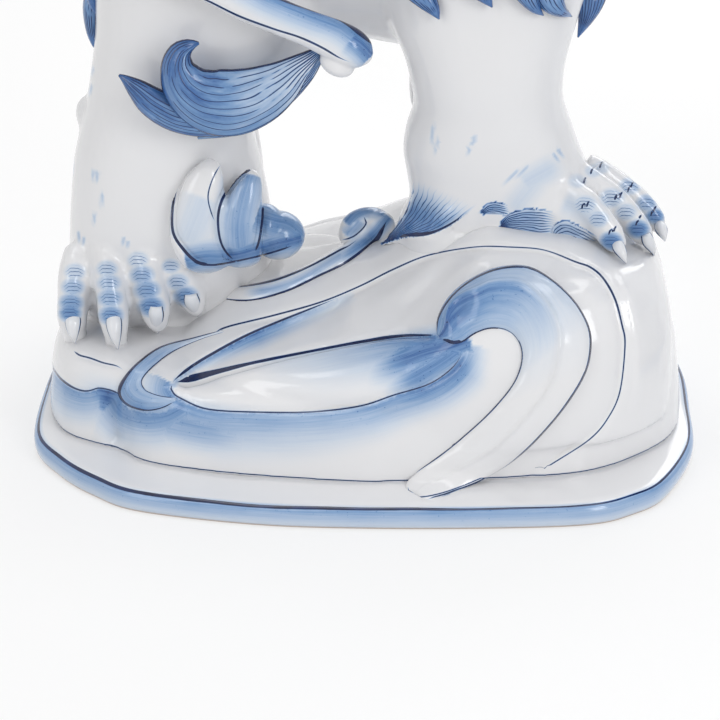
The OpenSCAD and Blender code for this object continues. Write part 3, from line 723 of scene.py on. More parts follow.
# %% [markdown]
# ## Waves laid on the rock
# The big crest, the scroll by the toes and the ridge behind the hind foot are rolls of clay laid
# on the block. Each has an outer edge, a ridge and an inner edge, and all three are lines of the
# picture. The roll is extruded along them with a roof-like section whose feet lie in the rock.

# %% Rolls of clay
ROLL_FEET = 3.0
# Share of the way from an edge to the ridge, and share of the ridge's height, on both sides
ROLL_PROFILE = [(0.0, -1.0), (0.0, 0.12), (0.1, 0.42), (0.3, 0.66), (0.6, 0.8), (0.82, 0.85),
                (0.93, 0.88)]
RUN_OUT = 0.72


def above_clay(place, height):
    """Lifts a place of a roll toward the eye until the rock doesn't pass over it."""
    clay = on_rock(seen([place])[0])
    short = (clay[0] - place) @ eye_back + 0.3 * height if clay else 0
    return place + eye_back * short if 0 < short < 12 else place


def averaged(rings, reach):
    """Each ring averaged with its neighbours, fewer of them toward the ends."""
    out = rings.copy()
    for k in range(1, len(rings) - 1):
        span = min(reach, k, len(rings) - 1 - k)
        out[k] = rings[k - span:k + span + 1].mean(axis=0)
    return out


def roll(name, outer, ridge, inner, height, count=90, run_out=False):
    """A roll between two edges, with the ridge's height along it."""
    share = np.linspace(0, 1, count)
    rings = []
    for *spots, h in zip(even(outer, count), even(ridge, count), even(inner, count),
                         stops(height)(share)):
        (outer_foot, *_), (top, _), (inner_foot, *_) = met = [on_rock(spot) for spot in spots]
        normal = unit(sum(n for _, n in met))
        halves = []
        for foot in (outer_foot, inner_foot):
            half = []
            for way, up in ROLL_PROFILE:
                place = foot + (top - foot) * way + normal * (h * up if up > 0 else -ROLL_FEET)
                half.append(above_clay(place, h * up) if up > 0 else place)
            halves.append(half)
        rings.append(halves[0] + [top + normal * h] + halves[1][::-1])
    rings = np.array(rings)
    if run_out:
        # The run-out lies in the corner of wall and ledge, so its rings are drawn even there
        rings += (averaged(rings, 7) - rings) * ease((share - RUN_OUT) / 0.12)[:, None, None]
        for ring in rings[int(count * RUN_OUT):]:
            ring[1:-1] = [above_clay(place, 2.0) for place in ring[1:-1]]
    return keep(name, grow(bmesh.new(), rings))


CREST_OUTER = [(437, 334), (438, 318), (452, 296), (475, 278), (502, 268), (530, 268), (555, 282),
               (576, 303), (589, 327), (591, 349), (585, 374), (567, 404), (544, 432), (521, 455),
               (498, 473), (470, 487), (440, 498), (424, 500)]
CREST_RIDGE = [(440, 337), (447, 328), (455, 309), (470, 298), (496, 289), (520, 289), (543, 304),
               (555, 325), (556, 345), (548, 377), (530, 404), (510, 427), (489, 446), (462, 466),
               (440, 478), (424, 490), (416, 495)]
CREST_INNER = [(441, 339), (452, 344), (463, 342), (475, 334), (489, 329), (504, 330), (515, 337),
               (521, 350), (520, 366), (511, 386), (489, 412), (463, 436), (440, 455), (417, 471),
               (406, 480), (403, 485), (408, 490)]
CREST_END = [(486, 476), (462, 486), (438, 494), (418, 497), (409, 492), (408, 484)]
CREST_HEIGHT = [(0, 1.5), (0.06, 6), (0.2, 9.5), (0.5, 9), (0.8, 6.5), (0.97, 4), (1, 0.8)]
crest = roll("left_crest_wave", CREST_OUTER, CREST_RIDGE, CREST_INNER, CREST_HEIGHT, run_out=True)
SCROLL_OUTER = [(222, 330), (197, 337), (161, 347), (138, 363), (123, 380), (118, 393), (126, 405),
                (145, 411), (163, 408), (177, 400)]
SCROLL_RIDGE = [(223, 331), (199, 338), (166, 350), (144, 366), (132, 381), (131, 393), (140, 401),
                (152, 403), (165, 402), (176, 399)]
SCROLL_INNER = [(224, 332), (202, 339), (173, 352), (151, 369), (142, 381), (145, 389), (152, 393),
                (162, 396), (170, 397), (176, 398)]
scroll = roll("left_scroll_wave", SCROLL_OUTER, SCROLL_RIDGE, SCROLL_INNER,
              [(0, 0.4), (0.25, 1.6), (0.6, 4.2), (0.85, 3), (1, 0.5)], 60)

# %% Paint on the rolls
def paint_roll(piece, length, width, blue, outer, inner, swells, end=None):
    """A wash by the shares along and across a roll, and brush lines on both its edges."""
    sides = 2 * len(ROLL_PROFILE) + 1
    count = len(piece.data.vertices) // sides
    along, across = np.meshgrid(np.linspace(0, 1, count), np.linspace(0, 1, sides), indexing="ij")
    along, across = along.ravel(), across.ravel()
    paint = paint_seen(piece, -0.3)[2]
    if end:
        paint.line(end, 0.7, (0.05, 0.1), "a")
    for edge, layer, swell in zip((outer, inner), "ab", swells):
        paint.line(edge, 1.0, (0.02, 0.05), layer, swell)
    paint.blue, paint.run, paint.off = blue(along, across), along * length, across * width
    paint.store(piece)


crest_fade = stops([(0, 0.84), (0.12, 0.72), (0.25, 0.54), (0.36, 0.26), (0.45, 0.06), (0.55, 0)])
scroll_fade = stops([(0, 0.1), (0.25, 0.3), (0.5, 0.62), (0.8, 0.66), (1, 0.4)])
CREST_SWELLS = (
    [(0, 1.4), (0.1, 1.1), (0.3, 1.4), (0.5, 1.7), (0.6, 1.5), (0.8, 1.2), (1, 0.9)],
    [(0, 3.4), (0.12, 3.0), (0.25, 1.7), (0.45, 1.6), (0.6, 1.8), (0.8, 1.4), (1, 1.0)])
SCROLL_SWELLS = (
    [(0, 0.6), (0.3, 0.9), (0.5, 1.5), (0.62, 2.8), (0.75, 2.0), (0.9, 1.4), (1, 0.8)],
    [(0, 0.4), (0.4, 1.2), (0.7, 1.4), (1, 0.8)])
# Along the middle of the crest's ridge the blue is thinned to a pale line, a painted highlight
paint_roll(crest, 420, 60, lambda s, v: crest_fade(s) * (0.55 + 0.45 * np.cos(v * 5.2) ** 2)
           * (1 - 0.35 * np.exp(-((v - 0.5) / 0.06) ** 2)),
           CREST_OUTER, CREST_INNER, CREST_SWELLS, CREST_END)
done(crest, ["crest"], "wave_wash")
paint_roll(scroll, 200, 24, lambda s, v: scroll_fade(s) * (0.9 - 0.3 * v),
           SCROLL_OUTER, SCROLL_INNER, SCROLL_SWELLS)
done(scroll, ["scroll"], "wave_wash")

# %% [markdown]
# ## Body
# The trunk is one long loft of rings from the rump to the chest. Each leg is a stack of level
# rings whose left and right edges are the leg's own outline. Paws are lumps with toes rolled as
# coils, and all of it is pressed into one skin, because on the real lion the joins are filled
# with slip and lie under one glaze. The legs go on a few millimetres into the rock.

# %% Body form
# Place along the body, middle (across and up), half width and half height
TRUNK = [(-165, 66, 322, 14, 18), (-158, 66, 320, 45, 45), (-141, 65, 315, 70, 71),
         (-108, 63, 309, 86, 89), (-62, 60, 304, 82, 85), (-14, 56, 302, 77, 80),
         (29, 51, 304, 82, 86), (71, 48, 313, 86, 94), (108, 46, 320, 72, 84),
         (129, 46, 325, 47, 59), (138, 46, 329, 17, 23)]
# Height, left and right edge, front and back edge
HIND_LEG = [(46, -170, -70, 2, 66), (60, -174, -64, 0, 66), (78, -175, -60, -4, 68),
            (100, -171.5, -54, -13, 68), (120, -169.5, -54, -20, 68),
            (142, -167, -57, -23, 68), (160, -164.5, -61, -23, 68), (176, -160.5, -63, -22, 68),
            (192, -156.5, -54, -22, 68), (208, -153.5, -36, -23, 68), (232, -150, -20, -25, 70),
            (262, -149, -18, -26, 74), (292, -148, -24, -20, 78), (322, -138, -40, -4, 80),
            (345, -120, -60, 20, 76)]
FORE_LEG = [(100, 32, 112, -18, 40), (112, 29, 118, -21, 46), (126, 27, 121, -24, 48),
            (142, 26, 127, -26, 48), (158, 24, 126, -28, 48), (170, 22, 121, -30, 48),
            (184, 24, 116, -32, 48), (198, 28, 111, -34, 48), (212, 26, 110, -37, 48),
            (228, 22, 112, -39, 48), (252, 12, 118, -40, 50), (280, 6, 126, -38, 54),
            (310, 8, 130, -26, 58), (338, 24, 118, -4, 58), (352, 44, 100, 16, 50)]


def upright(x, y, z, half_y, half_z, sides=36):
    """A ring across the body."""
    a = round_turn(sides)
    return np.stack([np.full(sides, float(x)), y + half_y * np.cos(a), z + half_z * np.sin(a)], 1)


def lump(form, middle, radii, turn=0.0, tilt=0.0):
    """A rounded lump of clay, turned about the vertical and tilted."""
    place = (Matrix.Translation(middle) @ Matrix.Rotation(turn, 4, "Z")
             @ Matrix.Rotation(tilt, 4, "Y") @ Matrix.Diagonal((*radii, 1.0)))
    bmesh.ops.create_uvsphere(form, u_segments=24, v_segments=16, radius=1, matrix=place)


def in_depth(spots):
    """Knots of a coil from places in the picture, each with its depth and its size."""
    return [(*at_plane((px, py), 1, depth), wide, thick) for px, py, depth, wide, thick in spots]


# Each toe from the instep to the claw: place in the picture, depth, half width, half thickness
HIND_TOES = [
    [(76, 248, 2, 9, 7), (74, 266, -7, 11, 10), (73, 284, -12, 12, 12.5), (72, 297, -14, 11, 11),
     (72, 311, -15, 12, 11), (73, 324, -15, 11, 9), (74, 334, -14, 8, 7), (75, 341, -13, 3, 3)],
    [(97, 246, 0, 9, 7), (104, 264, -10, 11, 10), (109, 282, -17, 12, 12.5),
     (111, 295, -21, 11, 11), (113, 311, -24, 12, 11), (115, 326, -25, 11, 9),
     (116, 338, -24, 8, 7), (117, 346, -22, 3, 3)],
    [(128, 240, 0, 9, 7), (138, 256, -8, 11, 10), (146, 274, -14, 12, 12.5),
     (150, 288, -17, 11, 11), (154, 302, -18, 12, 11), (156, 315, -18, 11, 9),
     (158, 325, -17, 8, 7), (158, 331, -16, 3, 3)],
    [(158, 240, 4, 8, 7), (170, 256, -3, 10, 10), (179, 270, -8, 11, 11), (185, 282, -8, 10, 10),
     (190, 293, -8, 10.5, 9.5), (194, 303, -7, 9.5, 8), (196, 310, -6, 7, 6), (197, 315, -5, 3, 3)]]
FORE_TOES = [
    [(548, 176, -8, 9, 8), (568, 190, -14, 10, 9), (587, 205, -19, 10.5, 10.5),
     (600, 219, -21, 9.5, 9.5), (610, 234, -22, 10, 9.5), (617, 246, -22, 7.5, 7),
     (620, 252, -22, 3.5, 3.5)],
    [(576, 170, 2, 8.5, 8), (596, 185, -2, 9.5, 9), (614, 200, -4, 10, 10), (627, 213, -4, 9, 9),
     (637, 227, -3, 9.5, 9), (644, 238, -2, 7, 7), (647, 244, -1, 3.5, 3.5)],
    [(596, 168, 20, 8, 8), (616, 184, 20, 9, 8), (633, 197, 20, 9.5, 9), (645, 208, 19, 8.5, 8.5),
     (654, 219, 17, 8.5, 8), (659, 228, 15, 6, 6), (661, 232, 14, 3, 3)],
    [(586, 162, 44, 8, 7), (604, 173, 44, 8.5, 7.5), (620, 184, 43, 8.5, 8), (632, 196, 42, 8, 8),
     (640, 208, 41, 7, 7), (643, 214, 41, 3, 3)]]
# The lock of hair that sweeps back from the heel of the fore leg
HEEL_LOCK = [(462, 206, -22, 5, 4), (446, 212, -18, 9, 6), (428, 219, -10, 11, 7),
             (412, 226, -2, 9, 6), (398, 234, 5, 5.5, 4), (387, 241, 10, 2.2, 2),
             (381, 244, 13, 0.6, 0.6)]
# Each claw: its root in the picture, the root's depth and its tip in the picture
HIND_CLAWS = [((73, 322), -24, (75, 344)), ((114, 324), -34, (118, 350)),
              ((156, 314), -26, (158, 334)), ((192, 301), -15, (198, 317))]
FORE_CLAWS = [((619, 248), -30, (626, 264)), ((648, 241), -9, (654, 256)),
              ((661, 229), 8, (665, 242))]
# The far hind leg is the near one turned over, smaller and further back
HIND_MIDDLE, FAR_HIND_WIDE, FAR_HIND_LONG = 66, 0.82, 0.9
NEAR_HIND_AT, FAR_HIND_AT = -116, -122
# The far fore leg is turned over too, and its paw is turned away from the eye
FORE_MIDDLE, FAR_PAW = 46, (62, 88)
# The toes in the tables are drawn with the glaze between them, so each is made this much slimmer
TOE_SLIM = 0.76
FAR_FORE_TURN = math.radians(58)
FAR_TOE_HEADINGS = [math.radians(a) for a in (42, 68, 94, 120)]


def far_toes():
    """The four toes of the far fore paw, which lie on the rock behind the leg."""
    toes = []
    for heading in FAR_TOE_HEADINGS:
        toe = []
        for reach, above, wide, tall in ((14, 20, 9, 9), (30, 14, 10, 10), (42, 9, 10.5, 11),
                                         (50, 6.5, 9.5, 9.5), (57, 5, 9.5, 9), (62, 3.5, 7, 7),
                                         (65, 2, 3, 3)):
            x, y = 62 + reach * math.cos(heading), 92 + reach * math.sin(heading)
            clay = rock_tree.ray_cast(Vector((x, y, 300)), Vector((0, 0, -1)))[0]
            toe.append((x, y, clay.z + above, wide, tall))
        toes.append(toe)
    return toes


def leg(table, toes=(), lumps=()):
    """A near leg: level rings, with toes given in the picture and lumps for its paw."""
    form = grow(bmesh.new(), [level(*row, 36, 2.3) for row in path(table, 6.0)])
    for toe in toes:
        slim = [(px, py, depth, wide * TOE_SLIM, tall) for px, py, depth, wide, tall in toe]
        grow(form, coil(in_depth(slim), (0.1, -0.6, 0.8), 3.0, 16))
    for place in lumps:
        lump(form, *place)
    return form


def far_hind(x, y, z):
    """Where a place of the near hind leg lies on the far one."""
    return (FAR_HIND_AT + (x - NEAR_HIND_AT) * FAR_HIND_LONG,
            HIND_MIDDLE + (HIND_MIDDLE - y) * FAR_HIND_WIDE, z)


def far_fore(x, y, z):
    """Where a place of the near fore leg lies on the far one."""
    ahead, aside = x - 70, 2 * FORE_MIDDLE - y - FAR_PAW[1]
    heading = math.atan2(aside, ahead) + FAR_FORE_TURN
    reach = math.hypot(ahead, aside) * (1 - 0.22 * float(ease((176 - z) / 24)))
    return (FAR_PAW[0] + reach * math.cos(heading), FAR_PAW[1] + reach * math.sin(heading),
            z - 10.0 * float(ease((150 - z) / 30)))


def turned_over(form, move):
    """A near leg moved to the far side."""
    for v in form.verts:
        v.co = move(*v.co)
    bmesh.ops.reverse_faces(form, faces=form.faces[:])
    return form


HIND_LUMPS = [((-136, 12, 86), (38, 28, 30), -0.25), ((-159, 22, 181), (5, 9, 9))]
FORE_LUMPS = [((84, 8, 132), (56, 32, 26), 0.0, 0.1), ((44, 2, 128), (24, 26, 18)),
              ((112, 4, 142), (34, 28, 18), 0.0, 0.45)]
near_fore = leg(FORE_LEG, FORE_TOES, FORE_LUMPS)
grow(near_fore, coil(in_depth(HEEL_LOCK), (0, -0.6, 0.8), 2.5, 18))
far_paw = turned_over(leg(FORE_LEG), far_fore)
lump(far_paw, (62, 112, 124), (36, 36, 22))
for toe in far_toes():
    grow(far_paw, coil(toe, (0, 0, 1), 3.0, 18))
form = grow(bmesh.new(), [upright(*row) for row in path(TRUNK, 8.0)])
for part in (leg(HIND_LEG, HIND_TOES, HIND_LUMPS),
             turned_over(leg(HIND_LEG, HIND_TOES, HIND_LUMPS), far_hind), near_fore, far_paw):
    add_form(form, part)
body = press(keep("left_body_glazed", form), 2.45, 7)
print("body", len(body.data.polygons), "faces before modelling")

# %% Finer clay on the paws
def refine(piece, boxes):
    """Splits the faces inside boxes of the picture once more, for small brush work."""
    with opened(piece) as form:
        middles = np.array([f.calc_center_median() for f in form.faces])
        flat = seen(middles)
        inside = np.any([(flat > box[:2]).all(1) & (flat < box[2:]).all(1) for box in boxes], 0)
        inside &= np.array([f.normal for f in form.faces]) @ eye_back > -0.1
        inside &= middles[:, 1] < HIND_MIDDLE - 6
        form.faces.ensure_lookup_table()
        edges = {e for k in np.flatnonzero(inside) for e in form.faces[k].edges}
        bmesh.ops.subdivide_edges(form, edges=list(edges), cuts=1, use_grid_fill=True)


refine(body, [(40, 230, 220, 350), (380, 150, 680, 275)])

# %% Where the legs stand on the rock
SPREAD, SPREAD_HIGH = 2.6, 5.5
co, no = places(body), facing(body)
for k in np.flatnonzero(co[:, 2] < 130):
    hit, normal, _, _ = rock_tree.find_nearest(Vector(co[k]), 7.0)
    if hit is not None:
        above = (Vector(co[k]) - hit).dot(normal)
        share = 1 - min(max(above, 0.0) / SPREAD_HIGH, 1.0)
        normal = np.array(normal)
        co[k] += (no[k] - normal * no[k].dot(normal)) * SPREAD * share * share
put(body, co)

# %% Brush work on the body
# Touches on each toe: place, reach and strength
TOE_DABS = [(75, 272, 12, 0.24), (73, 287, 13, 0.4), (71, 303, 14, 0.55), (70, 313, 13, 0.66),
            (107, 269, 12, 0.28), (109, 283, 13, 0.36), (110, 298, 14, 0.46), (111, 315, 14, 0.6),
            (138, 260, 12, 0.22), (142, 275, 14, 0.45), (147, 290, 15, 0.52), (151, 306, 15, 0.64),
            (171, 266, 10, 0.3), (178, 282, 12, 0.32), (186, 296, 14, 0.56),
            (54, 334, 7, 0.7),
            (577, 181, 10, 0.16), (585, 205, 14, 0.24), (598, 219, 12, 0.3), (611, 241, 13, 0.7),
            (593, 171, 9, 0.2), (612, 198, 14, 0.26), (626, 212, 12, 0.26), (638, 229, 13, 0.7),
            (601, 168, 9, 0.18), (630, 186, 12, 0.34), (647, 203, 12, 0.44), (655, 216, 11, 0.66)]
# Short dark arcs over the knuckles: middle and width
TOE_TICKS = [(585, 180), (592, 171), (601, 165), (583, 206), (588, 204), (616, 197), (621, 195),
             (632, 185), (629, 189), (610, 232), (615, 229), (640, 218), (637, 223), (655, 209),
             (652, 213)]
LEG_HAIR = [[(94, 168), (92, 184)], [(98, 170), (96, 186)], [(73, 160), (72, 180)],
            [(102, 190), (101, 212)], [(95, 212), (93, 228)], [(78, 230), (80, 246)],
            [(84, 236), (83, 248)], [(124, 236), (122, 248)], [(128, 240), (127, 250)],
            [(94, 66), (90, 78)], [(92, 84), (88, 98)],
            [(434, 122), (430, 150)], [(438, 136), (434, 158)], [(476, 134), (468, 154)],
            [(472, 144), (466, 158)], [(520, 168), (500, 188)], [(530, 164), (512, 182)],
            [(552, 152), (562, 166)], [(556, 148), (566, 160)]]


def body_paint(co, no):
    """Toes, tufts of hair and short strokes on the side of the body that is in the picture."""
    paint = Paint(seen(co), ((no @ eye_back) > -0.02) & (co[:, 1] < HIND_MIDDLE))
    for x, y, reach, strength in TOE_DABS:
        paint.dab((x, y), reach + 1.5, strength * 0.94, 1.25, 3.4 if strength > 0.2 else 0.0)
    for x, y in TOE_TICKS:
        paint.line([(x - 1.5, y + 4), (x - 0.5, y - 0.5), (x + 2, y - 4)], 1.1, (0.2, 0.3), "a")
    for stroke in LEG_HAIR:
        paint.glow(stroke, 0.3, 2.6, (0.2, 0.6))
    # The fan of hair at the heel of the fore leg
    paint.fan([(380, 244), (394, 231), (406, 213), (413, 194), (416, 176)],
              [(380, 244), (402, 237), (430, 233), (454, 222), (478, 203)], 11, 1.0, 0.62)
    paint.line([(396, 238), (408, 235), (430, 233), (452, 223), (472, 207)], 1.7, (0.1, 0.35),
               "b", [(0, 0.6), (0.25, 1.3), (0.5, 0.8), (1, 0.5)])
    # Three tufts along the foot of the paw
    paint.fan([(480, 213), (487, 205), (497, 203), (510, 207)],
              [(482, 214), (492, 213), (502, 214), (514, 217)], 5, 1.0, 0.45)
    paint.fan([(499, 229), (506, 217), (520, 211), (538, 210), (558, 215)],
              [(499, 229), (512, 231), (528, 237), (546, 240), (562, 236)], 11, 1.0, 0.42)
    paint.fan([(560, 246), (552, 234), (556, 224), (568, 222), (584, 230), (602, 240)],
              [(558, 247), (566, 254), (578, 260), (590, 264), (600, 265)], 11, 1.0, 0.36)
    paint.glow([(520, 186), (545, 172), (566, 160)], 0.18, 20)
    paint.glow([(560, 200), (590, 214), (606, 232)], 0.16, 20)
    paint.glow([(540, 176), (520, 200), (506, 222)], 0.14, 20)
    # Above the picture: a curl on the haunch and short hair along the back
    curl = [(168 + (10 + 26 * t) * math.cos(7 * t + 2), -112 + (8 + 24 * t) * math.sin(7 * t + 2))
            for t in np.linspace(0, 1, 16)]
    paint.glow(curl, 0.55, 14, (0.05, 0.3))
    paint.line(curl, 1.3, (0.05, 0.2), "a")
    for k in range(7):
        x = 132 + 14 * k
        paint.glow([(x, -60 + abs(k - 3) * 4), (x - 5, -30 + abs(k - 3) * 4)], 0.45, 6)
    for x in range(170, 411, 24):
        hair = [(x + 8, -262), (x - 2, -246), (x - 14, -234)]
        paint.glow(hair, 0.4, 7)
        paint.line(hair, 0.9, (0.2, 0.5), "b")
    return paint


def unturned(co, no):
    """The far hind leg's points, put where the near one's are, so both get the same strokes."""
    co, no = co.copy(), no.copy()
    far = (co[:, 1] > HIND_MIDDLE) & (co[:, 0] < 0)
    co[far, 1] = HIND_MIDDLE - (co[far, 1] - HIND_MIDDLE) / FAR_HIND_WIDE
    co[far, 0] = NEAR_HIND_AT + (co[far, 0] - FAR_HIND_AT) / FAR_HIND_LONG
    no[far, 1] *= -1
    return co, no


no = facing(body)
paint = body_paint(*unturned(co, no))
for toe in far_toes():
    for (x, y, z, wide, _), strength in zip(toe[2:6], (0.3, 0.5, 0.7, 0.75)):
        away = np.linalg.norm(co - [x, y, z + 6], axis=1)
        paint.blue = np.maximum(paint.blue, strength * (1 - ease((away / wide) ** 3)))
paint.store(body)
mark(body, "pool", hollows(body, 16))
done(body, ["haunch", "chest", "near_hind_leg", "far_hind_leg", "near_fore_leg", "far_fore_leg"],
     "body_glaze")

# %% [markdown]
# ## Ridge and curl of spray
# Behind the hind foot a low ridge climbs the slope and ends in a curl beside the fore leg.

# %% Ridge
RIDGE_UPPER = [(216, 283), (241, 286), (275, 280), (310, 266), (340, 250), (360, 236), (374, 226)]
RIDGE_LOWER = [(217, 295), (225, 300), (252, 301), (287, 292), (321, 276), (344, 265), (360, 254),
               (376, 240)]
ridge_top = (even(RIDGE_UPPER, 40) + even(RIDGE_LOWER, 40)) / 2
ridge = roll("left_cloud_ridge", RIDGE_UPPER, ridge_top, RIDGE_LOWER,
             [(0, 1.0), (0.2, 3.5), (0.6, 5.5), (1, 8)], 60)
with opened(ridge) as form:
    lump(form, at_plane((366, 226), 1, 30), (15.5, 10, 11), 0.2, -0.15)
    lump(form, at_plane((352, 234), 1, 28), (8, 8, 8))
    lump(form, at_plane((380, 226), 1, 26), (9, 8, 9), 0.0, 0.4)
ridge = press(ridge, 1.3, 4)
co, no, paint = paint_seen(ridge, -0.1)
paint.groove([(363, 216), (365, 224), (360, 232), (350, 236)], 1.6, 3.0, 0.3)
put(ridge, co + no * paint.rise[:, None])
paint.line([(215, 284)] + RIDGE_UPPER[1:-2] + [(350, 245), (364, 234)], 1.2, (0.02, 0.2), "a")
paint.line([(216, 296)] + RIDGE_LOWER[1:] + [(384, 226), (389, 216)], 2.1, (0.04, 0.1), "b",
           [(0, 0.8), (0.3, 1.1), (0.8, 1.3), (1, 0.8)])
paint.line([(362, 214), (366, 222), (361, 231), (350, 238), (340, 240)], 0.9, (0.2, 0.2), "a")
paint.glow([(345, 224), (356, 213), (372, 208), (388, 213)], 0.62, 15, (0.05, 0.1))
paint.glow([(346, 236), (356, 226), (362, 218)], 0.45, 13, (0.05, 0.2))
paint.glow([(390, 216), (372, 236), (350, 252), (320, 268)], 0.6, 12, (0.02, 0.5))
paint.glow([(240, 293), (270, 290), (300, 280), (330, 262), (350, 250)], 0.4, 9, (0.2, 0.1))
paint.store(ridge)
mark(ridge, "pool", hollows(ridge, 6))
done(ridge, ["cloud"], "wave_wash")

# %% [markdown]
# ## Locks of fur
# Fur on these lions is cut into fat, pointed locks, each with an edge line and a fan of brush
# strokes that run with it. A lock here is a coil that is wide and thin. Every point of it knows
# its share along the lock and across it, and the strokes are drawn from those two numbers.

# %% Locks
combed = set()


class Locks:
    """Locks gathered into one mesh, with their strokes' places."""

    def __init__(self):
        self.form = bmesh.new()
        self.along, self.across, self.wide, self.length, self.tone = [], [], [], [], []

    def add(self, knots, lift, sides=16, step=3.0, tone=1.0, ridges=0.0, count=7):
        """One lock: its section has a round back and sharp edges, and may be ridged."""
        line, side, up = rail(knots, lift, step)
        u, v = np.cos(round_turn(sides)), np.sin(round_turn(sides))
        v = v * (1 - 0.35 * abs(u) ** 3)
        v *= 1 + ridges * np.cos(u * math.pi * count) * np.maximum(v, 0) ** 0.7
        grow(self.form, [c[:3] + np.outer(u * c[3], s) + np.outer(v * c[4], t)
                         for c, s, t in zip(line, side, up)])
        run = np.concatenate([[0], np.cumsum(np.linalg.norm(np.diff(line[:, :3], axis=0),
                                                            axis=1))])
        self.along += list(np.repeat(run, sides))
        self.wide += list(np.repeat(line[:, 3], sides))
        self.across += list(u) * len(line)
        self.length += [run[-1]] * sides * len(line)
        self.tone += [tone] * sides * len(line)

    def finish(self, name, blue=((0, 0.5, 1), (0.3, 0.5, 0.72)), comb=1.0, line=1.0, streaky=0.5):
        """The piece, with its wash along the locks, its comb strokes and its edge line."""
        piece = keep(name, self.form)
        along, across, wide, length, tone = (np.array(x) for x in (
            self.along, self.across, self.wide, self.length, self.tone))
        for layer, values in {
                "run": along, "across": across, "wide": wide, "tone": tone,
                "gap_a": np.minimum((1 - abs(across)) * wide * 1.7, LINE_REACH),
                "half_a": line * np.minimum(0.4 + wide / 12, 1),
                "blue": np.interp(along / length, *blue) * tone,
                "streaky": np.full(len(along), streaky),
                "comb": np.minimum(wide / 4, 1) * comb}.items():
            mark(piece, layer, values)
        combed.add(name)
        return piece

# %% Claws
claw_locks = Locks()
for claws, wide, on_both in ((HIND_CLAWS, 4.6, True), (FORE_CLAWS, 3.6, False)):
    for (px, py), depth, tip in claws:
        top = at_plane((px, py), 1, depth)
        clay = on_rock(tip)
        end = (clay[0] if clay else at_plane(tip, 1, depth - 2)) + [0, 0, 0.6]
        knots = [(*(top + (top - end) * 0.3 + [0, 3.0, 0]), wide * 0.8, 2.5), (*top, wide, 3.6),
                 (*((top + end) / 2 + [0, -1.6, 1.0]), wide * 0.72, 3.2), (*end, 0.4, 0.5)]
        claw_locks.add(knots, (0, -0.8, 0.6), sides=20, step=1.2)
        if on_both:
            claw_locks.add([(*far_hind(*knot[:3]), *knot[3:]) for knot in knots], (0, 0.8, 0.6),
                           sides=20, step=1.2)
for toe in far_toes():
    base, end = np.array(toe[4][:3]), np.array(toe[6][:3])
    step = (end - base) * [1, 1, 0]
    base, end = end + [0, 0, 4] - step * 0.6, end + [0, 0, -1] + step * 0.7
    claw_locks.add([(*(base - step * 0.4), 3, 2.5), (*base, 4.2, 3.6),
                    (*((base + end) / 2 + [0, 0, 2]), 3.2, 3.2), (*end, 0.4, 0.5)],
                   (0, 0, 1), sides=20, step=1.2)
done(claw_locks.finish("left_claws", ((0, 1), (0.04, 0.0)), comb=0.0, line=1.1, streaky=0.1),
     [], "body_glaze")

# %% Tail
TAIL_ROOT = [(-150, 70, 350, 13, 13), (-172, 44, 342, 13, 13), (-172, 8, 326, 12.5, 12.5),
             (-148, -26, 308, 12, 12), (-118, -36, 288, 11.5, 11.5)]
TAIL_SEEN = [(206, -20, -38, 11, 11), (246, 2, -39, 10.3, 10.3), (282, 18, -39, 9.6, 9.6),
             (312, 30, -39, 9.8, 9.8), (335, 40, -38.5, 10.8, 10.8), (353, 49, -38, 10.6, 10.6),
             (365, 55, -37.5, 7.5, 7.5), (371, 58, -37, 3, 3)]
form = grow(bmesh.new(), coil(TAIL_ROOT + in_depth(TAIL_SEEN), (0, -0.3, 1), 2.5, 32))
lump(form, at_plane((337, 63), 1, -37), (10, 8, 7), 0.0, 0.5)
tail = press(keep("left_tail_coil", form), 1.1, 5)
co, no, paint = paint_seen(tail, -0.2)
TAIL_UPPER = [(240, -22), (262, -10), (283, 0), (310, 9), (340, 19), (360, 33), (377, 46),
              (378, 56), (370, 66)]
TAIL_LOWER = [(172, -14), (206, 0), (239, 16), (274, 29), (299, 37), (321, 47), (340, 58),
              (356, 64)]
paint.glow([(226, -34), (262, -12), (283, -2), (310, 9), (340, 20), (360, 34), (378, 50)],
           0.6, 34, (0.01, 0.01))
paint.glow([(345, 34), (360, 44), (372, 56)], 0.66, 26, (0.3, 0.01))
paint.line(TAIL_UPPER, 1.9, (0.01, 0.1), "a", [(0, 0.7), (0.5, 0.9), (0.8, 1.5), (1, 0.8)])
paint.line(TAIL_LOWER, 1.1, (0.01, 0.15), "b")
# The root is out of the picture and is blue on its upper side
root = ease((-60 - co[:, 0]) / 40) * ease((no[:, 2] + 0.1) / 0.9) * 0.66
paint.blue = np.maximum(paint.blue, root)
paint.run, paint.off = np.where(root > 0.05, (co[:, 1] * 1.7, co[:, 2] * 1.7),
                                (paint.run, paint.off))
paint.store(tail)
mark(tail, "pool", hollows(tail, 6))
done(tail, ["tail"], "tail_wash")

